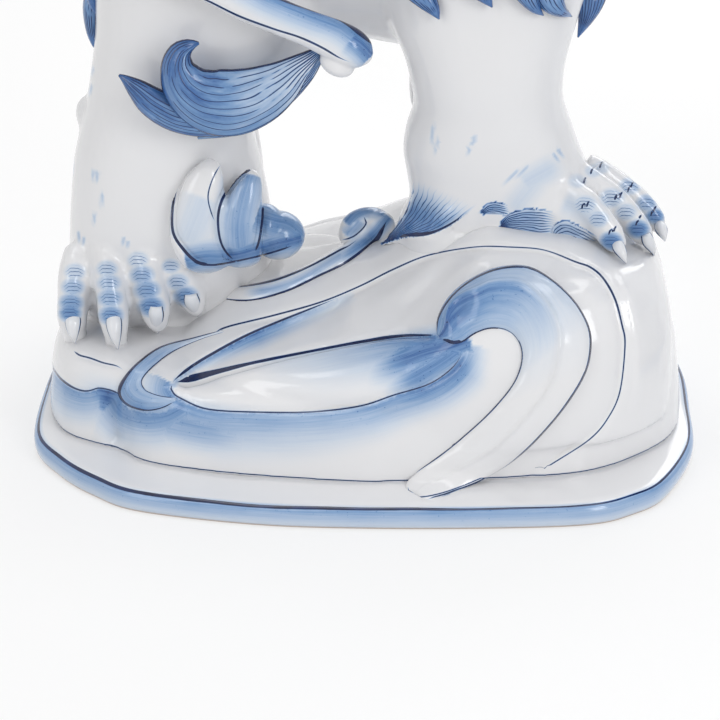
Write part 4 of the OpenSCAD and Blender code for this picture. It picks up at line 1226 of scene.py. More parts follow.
# %% Tuft of the tail
# Each lock: its places in the picture with depth, half width and half thickness, the number of
# its ridges, the sides of its section and its tone
TUFT = [
    ([(318, 52, -32, 3, 4), (300, 66, -33, 7, 6), (278, 84, -35, 13, 7), (254, 97, -37, 17, 8),
      (228, 103, -39, 19, 8.5), (204, 98, -40, 18, 9), (186, 84, -41, 14, 9),
      (178, 66, -41.5, 9.5, 8), (181, 52, -41.5, 6.5, 6), (190, 45, -41, 3.5, 4),
      (199, 43, -40.5, 0.8, 1.2)], 9, 40, 1.0),
    ([(296, 76, -31, 4, 4), (270, 96, -32, 7, 5), (240, 112, -34, 9, 6), (208, 119, -35, 10, 6.5),
      (178, 115, -36, 10, 6.5), (154, 103, -36.5, 9, 6), (137, 89, -36, 6, 5),
      (125, 79, -35.5, 2.5, 2.5), (119, 75, -35, 0.7, 1)], 6, 32, 1.05),
    ([(320, 56, -31, 2.5, 3), (306, 76, -31, 4, 4), (284, 98, -31.5, 5, 4.5),
      (258, 116, -32, 5.5, 4.5), (232, 128, -32.5, 4.5, 4), (212, 134, -32.5, 2.5, 2.6),
      (198, 138, -32, 0.8, 1)], 4, 24, 0.7)]
tuft_locks = Locks()
for spots, count, sides, tone in TUFT:
    tuft_locks.add(in_depth(spots), (0, -1, 0), sides, 2.0, tone, 0.1, count)
done(tuft_locks.finish("left_tuft_flames", ((0, 0.18, 0.5, 0.8, 1), (0.05, 0.26, 0.52, 0.64, 0.7)),
                       line=1.6, streaky=0.7), ["tuft"], "tuft_blue")

# %% Petals at the heel
PETAL_SPOTS = [
    [(212, 264, -12, 12, 6), (205, 252, -20, 16, 10), (199, 232, -24, 17, 11),
     (198, 210, -26, 15.5, 11), (203, 188, -26, 12.5, 9), (209, 172, -25, 8.5, 6),
     (214, 160, -22, 3.5, 3)],
    [(242, 258, -4, 11, 6), (240, 250, -12, 13, 10), (239, 234, -19, 13.5, 11),
     (241, 214, -21, 12.5, 11), (245, 196, -20, 10, 9), (250, 180, -17, 7, 7),
     (252, 170, -14, 3, 3)]]
form = bmesh.new()
for spots in PETAL_SPOTS:
    grow(form, coil(in_depth(spots), (0, -1, 0), 2.0, 28))
lump(form, at_plane((278, 235), 1, 8), (15.5, 15, 14))
lump(form, at_plane((265, 226), 1, 4), (11, 13, 13))
lump(form, at_plane((226, 247), 1, -8), (22, 12, 10))
petals = press(keep("left_petals_heel", form), 1.2, 5)
PETAL_LINES = [[(200, 158), (188, 168), (179, 181), (173, 205), (173, 232), (184, 250),
                (197, 262), (211, 265)],
               [(252, 170), (243, 172), (232, 184), (222, 200), (218, 218), (220, 239),
                (226, 252), (236, 262)],
               [(263, 206), (262, 222), (259, 241), (255, 252)]]
PETAL_BASE = [(192, 262), (211, 265), (232, 262), (259, 256), (280, 250), (300, 243)]
PETAL_SHADE = [(222, 162), (213, 178), (208, 196), (211, 212), (216, 224)]
co, no, paint = paint_seen(petals, -0.1)
for line in PETAL_LINES:
    paint.groove(line, 2.0, 4.0, 0.1)
put(petals, co + no * paint.rise[:, None])
paint = paint_seen(petals, -0.2)[2]
paint.line(PETAL_LINES[0], 1.3, (0.1, 0.05), "a", [(0, 0.5), (0.4, 1), (1, 1.4)])
paint.line(PETAL_LINES[1], 1.5, (0.05, 0.1), "b", [(0, 1.5), (0.3, 1), (1, 0.8)])
paint.line(PETAL_LINES[2], 1.4, (0.05, 0.1), "a")
paint.line(PETAL_BASE, 1.2, (0.05, 0.2), "b")
paint.line(PETAL_SHADE, 0.8, (0.2, 0.2), "a")
paint.glow([(185, 262), (205, 258), (222, 258), (240, 258)], 0.56, 26, (0.02, 0.02))
paint.glow([(186, 246), (196, 222), (206, 196)], 0.16, 34, (0.1, 0.1))
paint.glow([(240, 252), (239, 225), (243, 202), (250, 174)], 0.5, 34, (0.01, 0.01))
paint.glow([(226, 256), (240, 255), (258, 250), (280, 244), (302, 238)], 0.68, 20, (0.01, 0.01))
paint.glow([(256, 216), (275, 222), (290, 226), (306, 240)], 0.56, 44, (0.01, 0.01))
paint.store(petals)
mark(petals, "pool", hollows(petals, 6))
done(petals, ["petals"], "fur_wash")

# %% [markdown]
# ## Head
# The head stands in its own frame: ahead, aside and up from the middle of the ruff, turned to
# the viewer. Skull, brows, cheeks, whisker pads and nose are lumps and coils that are pressed
# together. The mouth is a flat cut under the muzzle, and the jaw hangs below it as a piece of
# its own.

# %% Head frame
HEAD_MIDDLE = np.array([88.3, 46.0, 436.0])
HEAD_TURN = math.radians(38)
AHEAD = np.array([math.cos(HEAD_TURN), -math.sin(HEAD_TURN), 0])
ASIDE = np.array([math.sin(HEAD_TURN), math.cos(HEAD_TURN), 0])
UPWARD = np.array([0, 0, 1.0])
FACE = 59.0
HEAD_FRAME = np.array([AHEAD, ASIDE, UPWARD])


def on_head(points):
    """Points given ahead, aside and up, placed on the lion."""
    return HEAD_MIDDLE + np.asarray(points, float) @ HEAD_FRAME


def in_head(points):
    """How far ahead, aside and up points of the lion lie from the head's middle."""
    return (np.asarray(points, float) - HEAD_MIDDLE) @ HEAD_FRAME.T


def head_ring(ahead, up, half_side, half_up, sides=36):
    """A ring across the head."""
    ring = level(0, -half_side, half_side, -half_up, half_up, sides)
    return on_head(np.stack([np.full(sides, float(ahead)), ring[:, 0], up + ring[:, 1]], 1))


def head_lump(form, middle, radii, tilt=0.0):
    """A lump of clay that is turned as the head is."""
    lump(form, on_head(middle), radii, -HEAD_TURN, tilt)


def head_coil(form, knots, lift=(0, 0, 1), sides=12, step=2.5):
    """A coil given in the head's frame."""
    knots = np.array(knots, float)
    knots = np.column_stack([on_head(knots[:, :3]), knots[:, 3:]])
    return grow(form, coil(knots, np.array(lift, float) @ HEAD_FRAME, step, sides))

# %% Skull and muzzle
SKULL = [(FACE - 12, 2, 58, 58), (FACE - 4, 3, 63, 61), (FACE + 8, 3, 65, 62),
         (FACE + 22, 5, 64, 60), (FACE + 38, 4, 57, 52), (FACE + 52, -2, 47, 43),
         (FACE + 66, -9, 39, 34), (FACE + 78, -12, 34, 28), (FACE + 88, -13, 27, 22),
         (FACE + 93, -14, 16, 13)]
form = bmesh.new()
grow(form, [head_ring(*row) for row in path(SKULL, 5.0)])
for m in (-1, 1):
    head_lump(form, (FACE + 24, m * 50, -8), (30, 19, 30))
    head_lump(form, (FACE + 74, m * 18, -19), (24, 20, 18), 0.1)
    head_lump(form, (FACE + 92, m * 13, 4), (10, 10, 8))
    head_lump(form, (FACE + 50, m * 27, 15), (19, 19, 19))
    head_coil(form, [(FACE + 78, m * 7, 14, 4, 5), (FACE + 70, m * 12, 24, 7, 8),
                     (FACE + 60, m * 25, 37, 8.5, 9), (FACE + 46, m * 40, 40, 8.5, 8.5),
                     (FACE + 34, m * 52, 32, 7, 7), (FACE + 30, m * 59, 22, 5, 5)])
    head_coil(form, [(FACE + 8, m * 56, -32, 6, 5), (FACE + 34, m * 52, -31, 7, 6),
                     (FACE + 60, m * 41, -32, 7, 6), (FACE + 80, m * 27, -34, 7, 6),
                     (FACE + 92, m * 8, -34, 6, 6), (FACE + 93, 0, -34, 5, 5)])
head_lump(form, (FACE + 40, 0, 48), (24, 26, 16), 0.35)
head_lump(form, (FACE + 90, 0, 7), (12, 20, 11))
head_coil(form, [(FACE + 50, 0, 38, 10, 8), (FACE + 66, 0, 26, 10, 8), (FACE + 80, 0, 16, 12, 8)])
head = press(keep("left_head_face", form), 1.35, 7)


def cut_flat(piece, point, normal):
    """Cuts a piece on a plane, keeps what lies against the normal and closes the cut."""
    with opened(piece) as form:
        found = bmesh.ops.bisect_plane(form, geom=form.verts[:] + form.edges[:] + form.faces[:],
                                       plane_co=Vector(point), plane_no=Vector(normal),
                                       clear_outer=True)
        rim = [g for g in found["geom_cut"] if isinstance(g, bmesh.types.BMEdge)]
        bmesh.ops.holes_fill(form, edges=rim, sides=0)


def sculpt(piece, moves):
    """Pushes points of a piece: each move is a place, a reach and a way."""
    co = places(piece)
    for middle, reach, way in moves:
        share = ease(1 - np.linalg.norm(co - middle, axis=1) / reach)
        co += share[:, None] * np.asarray(way, float)
    put(piece, co)
    return piece


MOUTH, MOUTH_TILT = -37, math.radians(6.7)
mouth_normal = np.array([math.sin(MOUTH_TILT), 0, -math.cos(MOUTH_TILT)]) @ HEAD_FRAME
cut_flat(head, on_head((FACE, 0, MOUTH)), mouth_normal)
# Nostrils, the split of the lip, and the corners between nose and eyes
nostrils = [(on_head((FACE + 101, m * 9, 2)), 9, -AHEAD * 8) for m in (-1, 1)]
split = [(on_head((FACE + 96, 0, -14)), 10, -AHEAD * 5 - UPWARD * 2)]
corners = [(on_head((FACE + 46, m * 8, 4)), 16, -AHEAD * 3) for m in (-1, 1)]
sculpt(head, nostrils + split + corners)

# %% Eyes and upper teeth
EYE, EYE_RADIUS = np.array([FACE + 57, 27, 15]), 15
form = bmesh.new()
for m in (-1, 1):
    head_lump(form, EYE * [1, m, 1], [EYE_RADIUS] * 3)
    for ahead, aside, long, wide in [(86, 21, 17, 5.0), (74, 31, 8, 3.6), (63, 37, 7, 3.6),
                                     (52, 41, 6, 3.4), (93, 9, 7, 4.0)]:
        x, y, z = FACE + ahead - 4, m * aside, MOUTH + math.tan(MOUTH_TILT) * ahead + 3
        head_coil(form, [(x, y, z, wide, wide), (x + 1, y, z - long * 0.5, wide * 0.8, wide * 0.8),
                         (x - 1, y, z - long, 0.5, 0.5)], (1, 0, 0), 10, 1.5)
eyes = keep("left_head_eyes", form)
print("head", len(head.data.polygons), "faces")

# %% Jaw with its teeth, and the tongue
JAW_TILT = math.radians(12)


def at_jaw(points):
    """Points of the jaw: along it, aside and up from its hinge, dropped open."""
    p = np.asarray(points, float)
    c, s = math.cos(JAW_TILT), math.sin(JAW_TILT)
    ahead = FACE + p[:, 0] * c + p[:, 2] * s
    return on_head(np.stack([ahead, p[:, 1], -55 - p[:, 0] * s + p[:, 2] * c], 1))


def jaw_ring(along, up, half_side, half_up):
    """A ring across the jaw."""
    ring = level(0, -half_side, half_side, -half_up, half_up, 32, 2.2)
    return at_jaw(np.stack([np.full(32, float(along)), ring[:, 0], up + ring[:, 1]], 1))


def jaw_coil(form, knots, lift, step, sides):
    """A coil given in the jaw's frame."""
    knots = np.array(knots, float)
    knots = np.column_stack([at_jaw(knots[:, :3]), knots[:, 3:]])
    return grow(form, coil(knots, lift, step, sides))


JAW = [(-14, -5, 40, 20), (-2, -5, 44, 24), (20, -6, 42, 25), (42, -5, 36, 23),
       (62, -3, 27, 19), (76, 1, 17, 14), (82, 4, 9, 8)]
LIP = [(4, 40, 10), (28, 38, 11), (50, 30, 11), (68, 19, 11), (79, 6, 11), (80, 0, 11)]
jaw_form = grow(bmesh.new(), [jaw_ring(*row) for row in path(JAW, 4.0)])
form = bmesh.new()
for m in (-1, 1):
    jaw_coil(jaw_form, [(along, m * aside, up, 6, 5) for along, aside, up in LIP],
             (0, 0, 1), 2.5, 12)
    for along, aside, long, wide in [(72, 17, 13, 4.2), (60, 25, 6, 3.4), (48, 31, 6, 3.4),
                                     (36, 35, 6, 3.2), (79, 7, 6, 3.4)]:
        y = m * aside
        jaw_coil(form, [(along, y, 11, wide, wide),
                        (along, y, 14 + long * 0.5, wide * 0.8, wide * 0.8),
                        (along - 2, y, 14 + long, 0.5, 0.5)], AHEAD, 1.5, 10)
jaw, jaw_teeth = press(keep("left_jaw_lower", jaw_form), 1.35, 6), keep("left_jaw_teeth", form)
tongue = keep("left_tongue_lolling", jaw_coil(bmesh.new(), [
    (-8, 0, 15, 22, 5), (14, 0, 17, 24, 7), (36, 0, 19, 24, 7), (56, 0, 17, 19, 6),
    (68, 0, 15, 9, 4), (72, 0, 14.5, 2, 1)], (0, 0, 1), 2.0, 28))
co = places(tongue)
groove = np.exp(-(in_head(co)[:, 1] / 3.5) ** 2)
co[:, 2] -= groove * 2.2 * (facing(tongue)[:, 2] > 0)
put(tongue, co)

# %% Ears
def ear(name, m):
    """An ear, on the near side with m = -1, hollowed in front."""
    form = head_coil(bmesh.new(), [
        (FACE - 24, m * 58, 66, 14, 9), (FACE - 24, m * 65, 76, 19, 10),
        (FACE - 25, m * 73, 88, 19, 9), (FACE - 28, m * 79, 98, 12, 6),
        (FACE - 31, m * 82, 105, 3, 2)], (1, 0, 0.2), 24, 2.5)
    piece = press(keep(name, form), 1.1, 4)
    return sculpt(piece, [(on_head((FACE - 14, m * (66 + k * 5), 78 + k * 8)), 15, -AHEAD * 4)
                          for k in range(3)])


near_ear, far_ear = ear("left_ear_near", -1), ear("left_ear_far", 1)
print("ears", len(near_ear.data.polygons), "faces each")

# %% [markdown]
# ## Mane and bib
# A ruff of locks frames the face. Each lock starts near the face, lies back over the ruff and
# turns its tip up, and the next row starts under the tips of the row before. The bib is hung
# with shorter locks in rows down the chest. Every second lock is turned the other way.

# %% Ruff under the locks
RUFF = [(-64, 0, 22, 24), (-58, 0, 52, 56), (-44, 0, 76, 82), (-20, 0, 90, 94), (8, 0, 94, 97),
        (34, 0, 90, 92), (50, 0, 80, 82), (59, 0, 70, 72), (62, 0, 60, 62)]
mane = keep("left_mane_ruff", grow(bmesh.new(), [
    head_ring(*row, sides=48) for row in path(RUFF, 6.0)]))
ruff_tree, body_tree = tree_of(mane), tree_of(body)
ruff_radius = stops(RUFF, 2)


def round_ruff(ahead, radius, angle):
    """A place round the line that the head looks along."""
    return on_head((ahead, radius * math.cos(angle), radius * math.sin(angle)))


mane_locks = Locks()
# Start, count, length and half width of each row's locks, and how far the row is turned. In a
# lock: share along it, swing, height over the ruff, share of the width and of the thickness
ROWS = [(56, 15, 62, 11.0, 0.0), (34, 17, 60, 12.0, 0.5), (8, 17, 56, 12.5, 0.0),
        (-18, 15, 50, 12.0, 0.5), (-42, 11, 40, 11.0, 0.0)]
MANE_LOCK = [(0, 0, -2, 0.5, 0.6), (0.18, 0.06, 5, 0.9, 1.0), (0.42, 0.15, 9, 1.0, 1.0),
             (0.66, 0.12, 11, 0.85, 0.9), (0.86, -0.05, 14, 0.55, 0.65),
             (0.98, -0.2, 18, 0.25, 0.35), (1.0, -0.3, 23, 0.04, 0.08)]
CHEST_TOP = 330
lock_turn = np.random.default_rng(7)
for row, (start, count, long, wide, shift) in enumerate(ROWS):
    for k in range(count):
        angle = 2 * math.pi * (k + shift) / count + lock_turn.uniform(-0.06, 0.06)
        swing = (1 if (k + row) % 2 else -1) * lock_turn.uniform(0.8, 1.15)
        reach = long * lock_turn.uniform(0.9, 1.12)
        knots = []
        for t, turn, out, w, h in MANE_LOCK:
            ahead = start - reach * t
            spot = round_ruff(ahead, ruff_radius(ahead) + out, angle + swing * turn * 0.75)
            knots.append((*spot, w * wide, h * 6.5))
        lift = math.cos(angle) * ASIDE + math.sin(angle) * UPWARD
        if knots[3][2] > CHEST_TOP:
            mane_locks.add(knots, lift, sides=18, step=3.5, tone=lock_turn.uniform(0.85, 1.1))
# A whorl of shorter locks closes the back of the ruff
WHORL_LOCK = [(0, 0.4, 0.5), (0.2, 0.9, 0.9), (0.45, 1.0, 1.0), (0.7, 0.75, 0.9),
              (0.9, 0.35, 0.6), (1, 0.05, 0.1)]
for k in range(9):
    mane_locks.add([(*round_ruff(-52 - 15 * math.sin(t * 1.5) - 6 * t, 42 * (1 - t) + 2,
                                 2 * math.pi * k / 9 + 0.9 * t), w * 11, h * 6)
                    for t, w, h in WHORL_LOCK], -AHEAD, sides=18, step=3.0)
mane_cover = mane_locks.finish("left_mane_locks")
print("mane", len(mane_cover.data.polygons), "faces")

# %% Bib
bib_locks = Locks()
BIB_AXIS = np.array([70.0, 46.0])


def on_chest(angle, z):
    """Place on the chest, found from outside along a level line."""
    way = np.array([math.cos(angle), math.sin(angle), 0])
    start = np.array([*BIB_AXIS, z]) + way * 200
    hit = first_hit(start, -way, (body_tree, ruff_tree))
    return (hit[0] if hit else start - way * 150), way


BIB_ROWS = [(392, 12, 74, 0.0), (352, 12, 66, 0.5), (320, 11, 46, 0.0)]
BIB_LOCK = [(0, 0, -2, 0.6, 0.6), (0.2, 0.05, 4, 0.95, 1.0), (0.45, 0.11, 6.5, 1.0, 1.0),
            (0.7, 0.08, 8, 0.8, 0.9), (0.88, -0.04, 8, 0.45, 0.6), (1.0, -0.16, 7, 0.04, 0.1)]
for row, (top, count, long, shift) in enumerate(BIB_ROWS):
    for k in range(count):
        angle = math.radians(-128 + 256 * (k + shift) / (count - 0.5))
        swing = (1 if (k + row) % 2 else -1) * lock_turn.uniform(0.7, 1.1)
        drop = long * lock_turn.uniform(0.92, 1.1) * (1 - 0.18 * abs(math.sin(angle)) ** 3)
        knots = []
        for t, turn, out, w, h in BIB_LOCK:
            place, way = on_chest(angle + swing * turn, top - drop * t)
            knots.append((*(place + way * out), w * 12.5, h * 6))
        bib_locks.add(knots, (math.cos(angle), math.sin(angle), 0), sides=18, step=3.5,
                      tone=lock_turn.uniform(0.85, 1.1))
# The lowest tips are in the picture. Each spot is a place there and the lock's half width.
BIB_TIPS = [[(392, -52, 5), (402, -34, 8), (414, -16, 8), (426, -1, 6), (434, 10, 3.4),
             (439, 19, 0.5)],
            [(462, -44, 5), (470, -26, 7), (479, -12, 6), (486, -2, 3.6), (492, 7, 0.5)],
            [(506, -50, 5), (514, -30, 8), (523, -14, 7.5), (530, 0, 5), (536, 9, 2.8),
             (543, 15, 0.5)],
            [(546, -54, 6), (545, -34, 9), (547, -16, 9), (552, 0, 7.5), (560, 10, 4),
             (571, 16, 0.5)],
            [(590, -56, 6), (592, -36, 9.5), (591, -16, 10), (590, 2, 8), (586, 18, 4.6),
             (578, 37, 0.5)]]
last_depth = 0.0
for spots in BIB_TIPS:
    knots = []
    for (px, py, wide), out in zip(spots, (0, 4, 5, 5, 4.5, 4)):
        hit = first_hit(eye_place, unit(sight((px, py))), [body_tree])
        last_depth = hit[0][1] if hit else last_depth
        knots.append((*at_plane((px, py), 1, last_depth - out), wide,
                      5.5 * min(1, wide / 6 + 0.1)))
    bib_locks.add(knots, (0.1, -1, 0.2), sides=22, step=2.5)
# Locks at the back of the haunches, of which the near one is just in the picture
for far in (False, True):
    for shift, long in ((0, 1.0), (30, 1.15), (64, 0.9)):
        knots = []
        for t, ahead, wide, thick in ((0, 12, 4, 2), (0.2, 3, 8, 5), (0.5, -1, 9, 6),
                                      (0.75, -1, 6.5, 4.5), (0.92, 1, 3, 2.5), (1, 3, 0.5, 0.6)):
            z = 268 + shift - 50 * long * t
            y = 22 - shift * 0.12 + 6 * math.sin(4 * t)
            x = -151 + ahead + shift * 0.02
            knots.append((x, 132 - y if far else y, z, thick, wide))
        bib_locks.add(knots, (0, 1 if far else -1, 0.1), sides=18, step=2.5)
bib = bib_locks.finish("left_bib_locks")
print("bib", len(bib.data.polygons), "faces")

# %% [markdown]
# ## The painted face
# The painter draws the face from the front: brows like flames, rims round the eyes, a dark
# nose and dots where the whiskers would be. The same strokes are laid on both halves at once.

# %% Face strokes
FACE_SCALE = 1.6


def from_front(piece):
    """Places on the face as the painter sees them from the front, mirrored to one half."""
    flat = in_head(places(piece)) * FACE_SCALE
    return np.stack([abs(flat[:, 1]), -flat[:, 2]], -1), facing(piece) @ AHEAD, flat[:, 0]


def drawn(*spots):
    """A stroke given in millimetres aside and up from the middle of the head."""
    return [(a * FACE_SCALE, -u * FACE_SCALE) for a, u in spots]


flat, ahead_way, ahead = from_front(head)
paint = Paint(flat, (ahead_way > 0.02) & (ahead > FACE * FACE_SCALE - 6))
BROW = drawn((6, 16), (12, 25), (25, 38), (40, 42), (52, 34), (61, 20))
paint.glow(BROW, 0.72, 17, (0.05, 0.1))
paint.line(drawn((7, 24), (13, 33), (26, 46), (41, 49), (54, 42), (62, 28)), 1.3, (0.1, 0.2), "a")
paint.line(drawn((8, 11), (14, 18), (26, 29), (38, 31), (46, 25), (48, 14)), 1.5, (0.1, 0.2), "b")
paint.line(drawn((14, 8), (20, 1), (30, -1), (40, 4), (46, 12)), 1.3, (0.1, 0.1), "a")
paint.glow(drawn((0, 10), (8, 10), (14, 4)), 0.7, 15, (0.0, 0.3))
paint.dab(drawn((9, 1))[0], 8, 0.95)
paint.line(drawn((1, -6), (8, -6), (14, -2), (17, 4)), 1.4, (0.02, 0.2), "a")
paint.line(drawn((0.6, -8), (0.8, -16), (1, -24)), 1.2, (0.1, 0.1), "b")
paint.line(drawn((0.5, 33), (6, 36), (11, 42)), 1.2, (0.02, 0.3), "b")
paint.line(drawn((0.5, 25), (5, 27), (9, 31)), 1.1, (0.02, 0.3), "b")
paint.glow(drawn((0, 44), (2, 54), (6, 62)), 0.5, 13, (0.0, 0.4))
paint.glow(drawn((20, 50), (24, 56), (32, 60)), 0.45, 10)
for spot in ((17, -13), (24, -10), (31, -13), (20, -20), (28, -20), (24, -27)):
    paint.dab(drawn(spot)[0], 3.4, 0.95)
paint.glow(drawn((0, -35), (14, -36), (30, -35), (46, -33), (56, -30)), 0.5, 9, (0.0, 0.2))
paint.glow(drawn((52, 6), (58, -4), (60, -16)), 0.4, 14)
paint.glow(drawn((44, -16), (52, -22), (58, -24)), 0.3, 12)
paint.store(head)
mark(head, "pool", hollows(head, 10))

# A dark pupil inside a blue ring on each eye
PUPIL, IRIS = 4.6, 7
co = places(eyes)
gap, half, blue = np.full(len(co), LINE_REACH), np.full(len(co), -LINE_REACH), np.zeros(len(co))
for m in (-1, 1):
    heart = on_head(EYE * [1, m, 1])
    gaze = unit(np.array([1, m * 0.18, -0.1]) @ HEAD_FRAME)
    ball = np.linalg.norm(co - heart, axis=1) < EYE_RADIUS + 0.6
    turn = np.arccos(np.clip((co[ball] - heart) @ gaze / EYE_RADIUS, -1, 1)) * EYE_RADIUS
    gap[ball], half[ball] = turn, PUPIL
    blue[ball] = 0.5 * (1 - ease((turn - IRIS) / 1.5))
for layer, values in (("gap_a", gap), ("half_a", half), ("blue", blue)):
    mark(eyes, layer, values)

# The jaw is blue below, under a line along the lip
flat, ahead_way, ahead = from_front(jaw)
low, high = flat[:, 1].max(), flat[:, 1].min()
paint = Paint(flat)
share = (flat[:, 1] - high) / (low - high)
paint.blue = 0.62 * ease((share - 0.45) / 0.5) * ease((ahead_way + 0.6) / 0.8)
paint.run, paint.off = flat[:, 0], flat[:, 1]
paint.gap["a"] = (share - 0.2) * (low - high)
paint.half["a"] = np.where(abs(paint.gap["a"]) < 6, 1.0, -LINE_REACH)
paint.store(jaw)
mark(tongue, "blue", np.full(len(tongue.data.vertices), 0.42))
for piece in (near_ear, far_ear):
    mark(piece, "blue", 0.6 * ease((facing(piece) @ AHEAD - 0.1) / 0.5))
mark(mane, "blue", np.where(in_head(places(mane))[:, 0] < 46, 0.34, 0.12))

for piece, nodes, slot in [(head, ["head"], "face_glaze"), (jaw, ["jaw"], "face_glaze"),
                           (tongue, ["tongue"], "tongue_wash"), (mane, ["mane"], "mane_blue"),
                           (near_ear, ["near_ear"], "face_glaze"),
                           (far_ear, ["far_ear"], "face_glaze"), (bib, ["bib"], "mane_blue"),
                           (mane_cover, [], "mane_blue"), (eyes, [], "face_glaze"),
                           (jaw_teeth, [], "face_glaze")]:
    done(piece, nodes, slot)

# %% [markdown]
# ## Glaze and cobalt
# Tin glaze is a white, opaque glass. It is a little warmer and greyer in hollows, partly where it
# pools and partly as painted shade, and its skin is faintly dimpled like an orange. The cobalt
# was brushed on the raw glaze, so a wash has
# the streaks of the brush and small dark specks, and a line is nearly black where it is thick.
# One scale of ink, from nought to one, gives white, pale blue, cobalt and navy in turn.

# %% Node expressions
class Value:
    """A socket of a material. Sums and products of values add their own Math nodes."""

    def __init__(self, graph, socket):
        self.graph, self.socket = graph, socket

    def math(self, operation, *others, clamp=False):
        """A Math node on this value and others."""
        settings = {"operation": operation, "use_clamp": clamp}
        return self.graph.node("ShaderNodeMath", settings, dict(enumerate((self, *others))))

    def __add__(self, other):
        return self.math("ADD", other)

    def __sub__(self, other):
        return self.math("SUBTRACT", other)

    def __rsub__(self, other):
        return self.graph.node("ShaderNodeMath", {"operation": "SUBTRACT"}, {0: other, 1: self})

    def __mul__(self, other):
        return self.math("MULTIPLY", other)

    __radd__ = __add__
    __rmul__ = __mul__

    def __abs__(self):
        return self.math("ABSOLUTE")

    def clamp(self):
        """The value, held between nought and one."""
        return self.math("ADD", 0.0, clamp=True)

    def sharp(self, slope):
        """The value made steeper and held between nought and one, as the edge of a stroke."""
        return self.math("MULTIPLY", slope, clamp=True)

    def larger(self, other):
        """The larger of two values."""
        return self.math("MAXIMUM", other)


class Graph:
    """The nodes of one material or world."""

    def __init__(self, owner):
        owner.use_nodes = True
        self.owner, self.tree = owner, owner.node_tree
        self.shader = self.tree.nodes.get("Principled BSDF")

    def give(self, socket, value):
        """Links a value to an input, or sets a plain number there."""
        if isinstance(value, Value):
            self.tree.links.new(value.socket, socket)
        else:
            socket.default_value = value

    def node(self, kind, settings, values, output=0):
        """A new node with its settings and inputs, as the value of one of its outputs."""
        made = self.tree.nodes.new(kind)
        for key, value in settings.items():
            if key == "stops":
                ramp = made.color_ramp.elements
                while len(ramp) < len(value):
                    ramp.new(0.5)
                for element, (place, colour) in zip(ramp, value):
                    element.position = place
                    element.color = (*colour, 1)
            else:
                setattr(made, key, value)
        for key, value in values.items():
            self.give(made.inputs[key], value)
        return Value(self, made.outputs[output])

    def numbers(self, *names):
        """What was marked on the points under these names."""
        return [self.node("ShaderNodeAttribute", {"attribute_name": n}, {}, "Fac") for n in names]

    def noise(self, vector, scale, detail):
        """Noise on a place."""
        return self.node("ShaderNodeTexNoise", {}, {"Vector": vector, "Scale": scale,
                                                    "Detail": detail, "Roughness": 0.55})

    def streaks(self, x, y, z, detail=1.0):
        """Noise on a place that is stretched along the brush."""
        place = self.node("ShaderNodeCombineXYZ", {}, {"X": x, "Y": y, "Z": z})
        return self.noise(place, 1.0, detail)

    def mix(self, share, a, b, blend="MIX"):
        """Two colours mixed, b by its share."""
        return self.node("ShaderNodeMix", {"data_type": "RGBA", "blend_type": blend},
                         {0: share, 6: a, 7: b}, 2)

    def step(self, value, low, high):
        """A soft step from 0 at the low value to 1 at the high one."""
        return self.node("ShaderNodeMapRange", {"interpolation_type": "SMOOTHSTEP"},
                         {"Value": value, "From Min": low, "From Max": high})


WHITE = (0.80, 0.80, 0.812)
INK = [(0.0, WHITE), (0.14, (0.62, 0.69, 0.785)), (0.32, (0.40, 0.52, 0.70)),
       (0.52, (0.16, 0.30, 0.54)), (0.7, (0.045, 0.135, 0.36)), (0.88, (0.012, 0.03, 0.115)),
       (1.0, (0.008, 0.012, 0.045))]
# Tint of the hollows: partly glaze that pools there, partly painted shade
POOL_AND_SHADE_TINT = (0.66, 0.625, 0.56, 1)
CLAY = (0.56, 0.42, 0.31, 1)


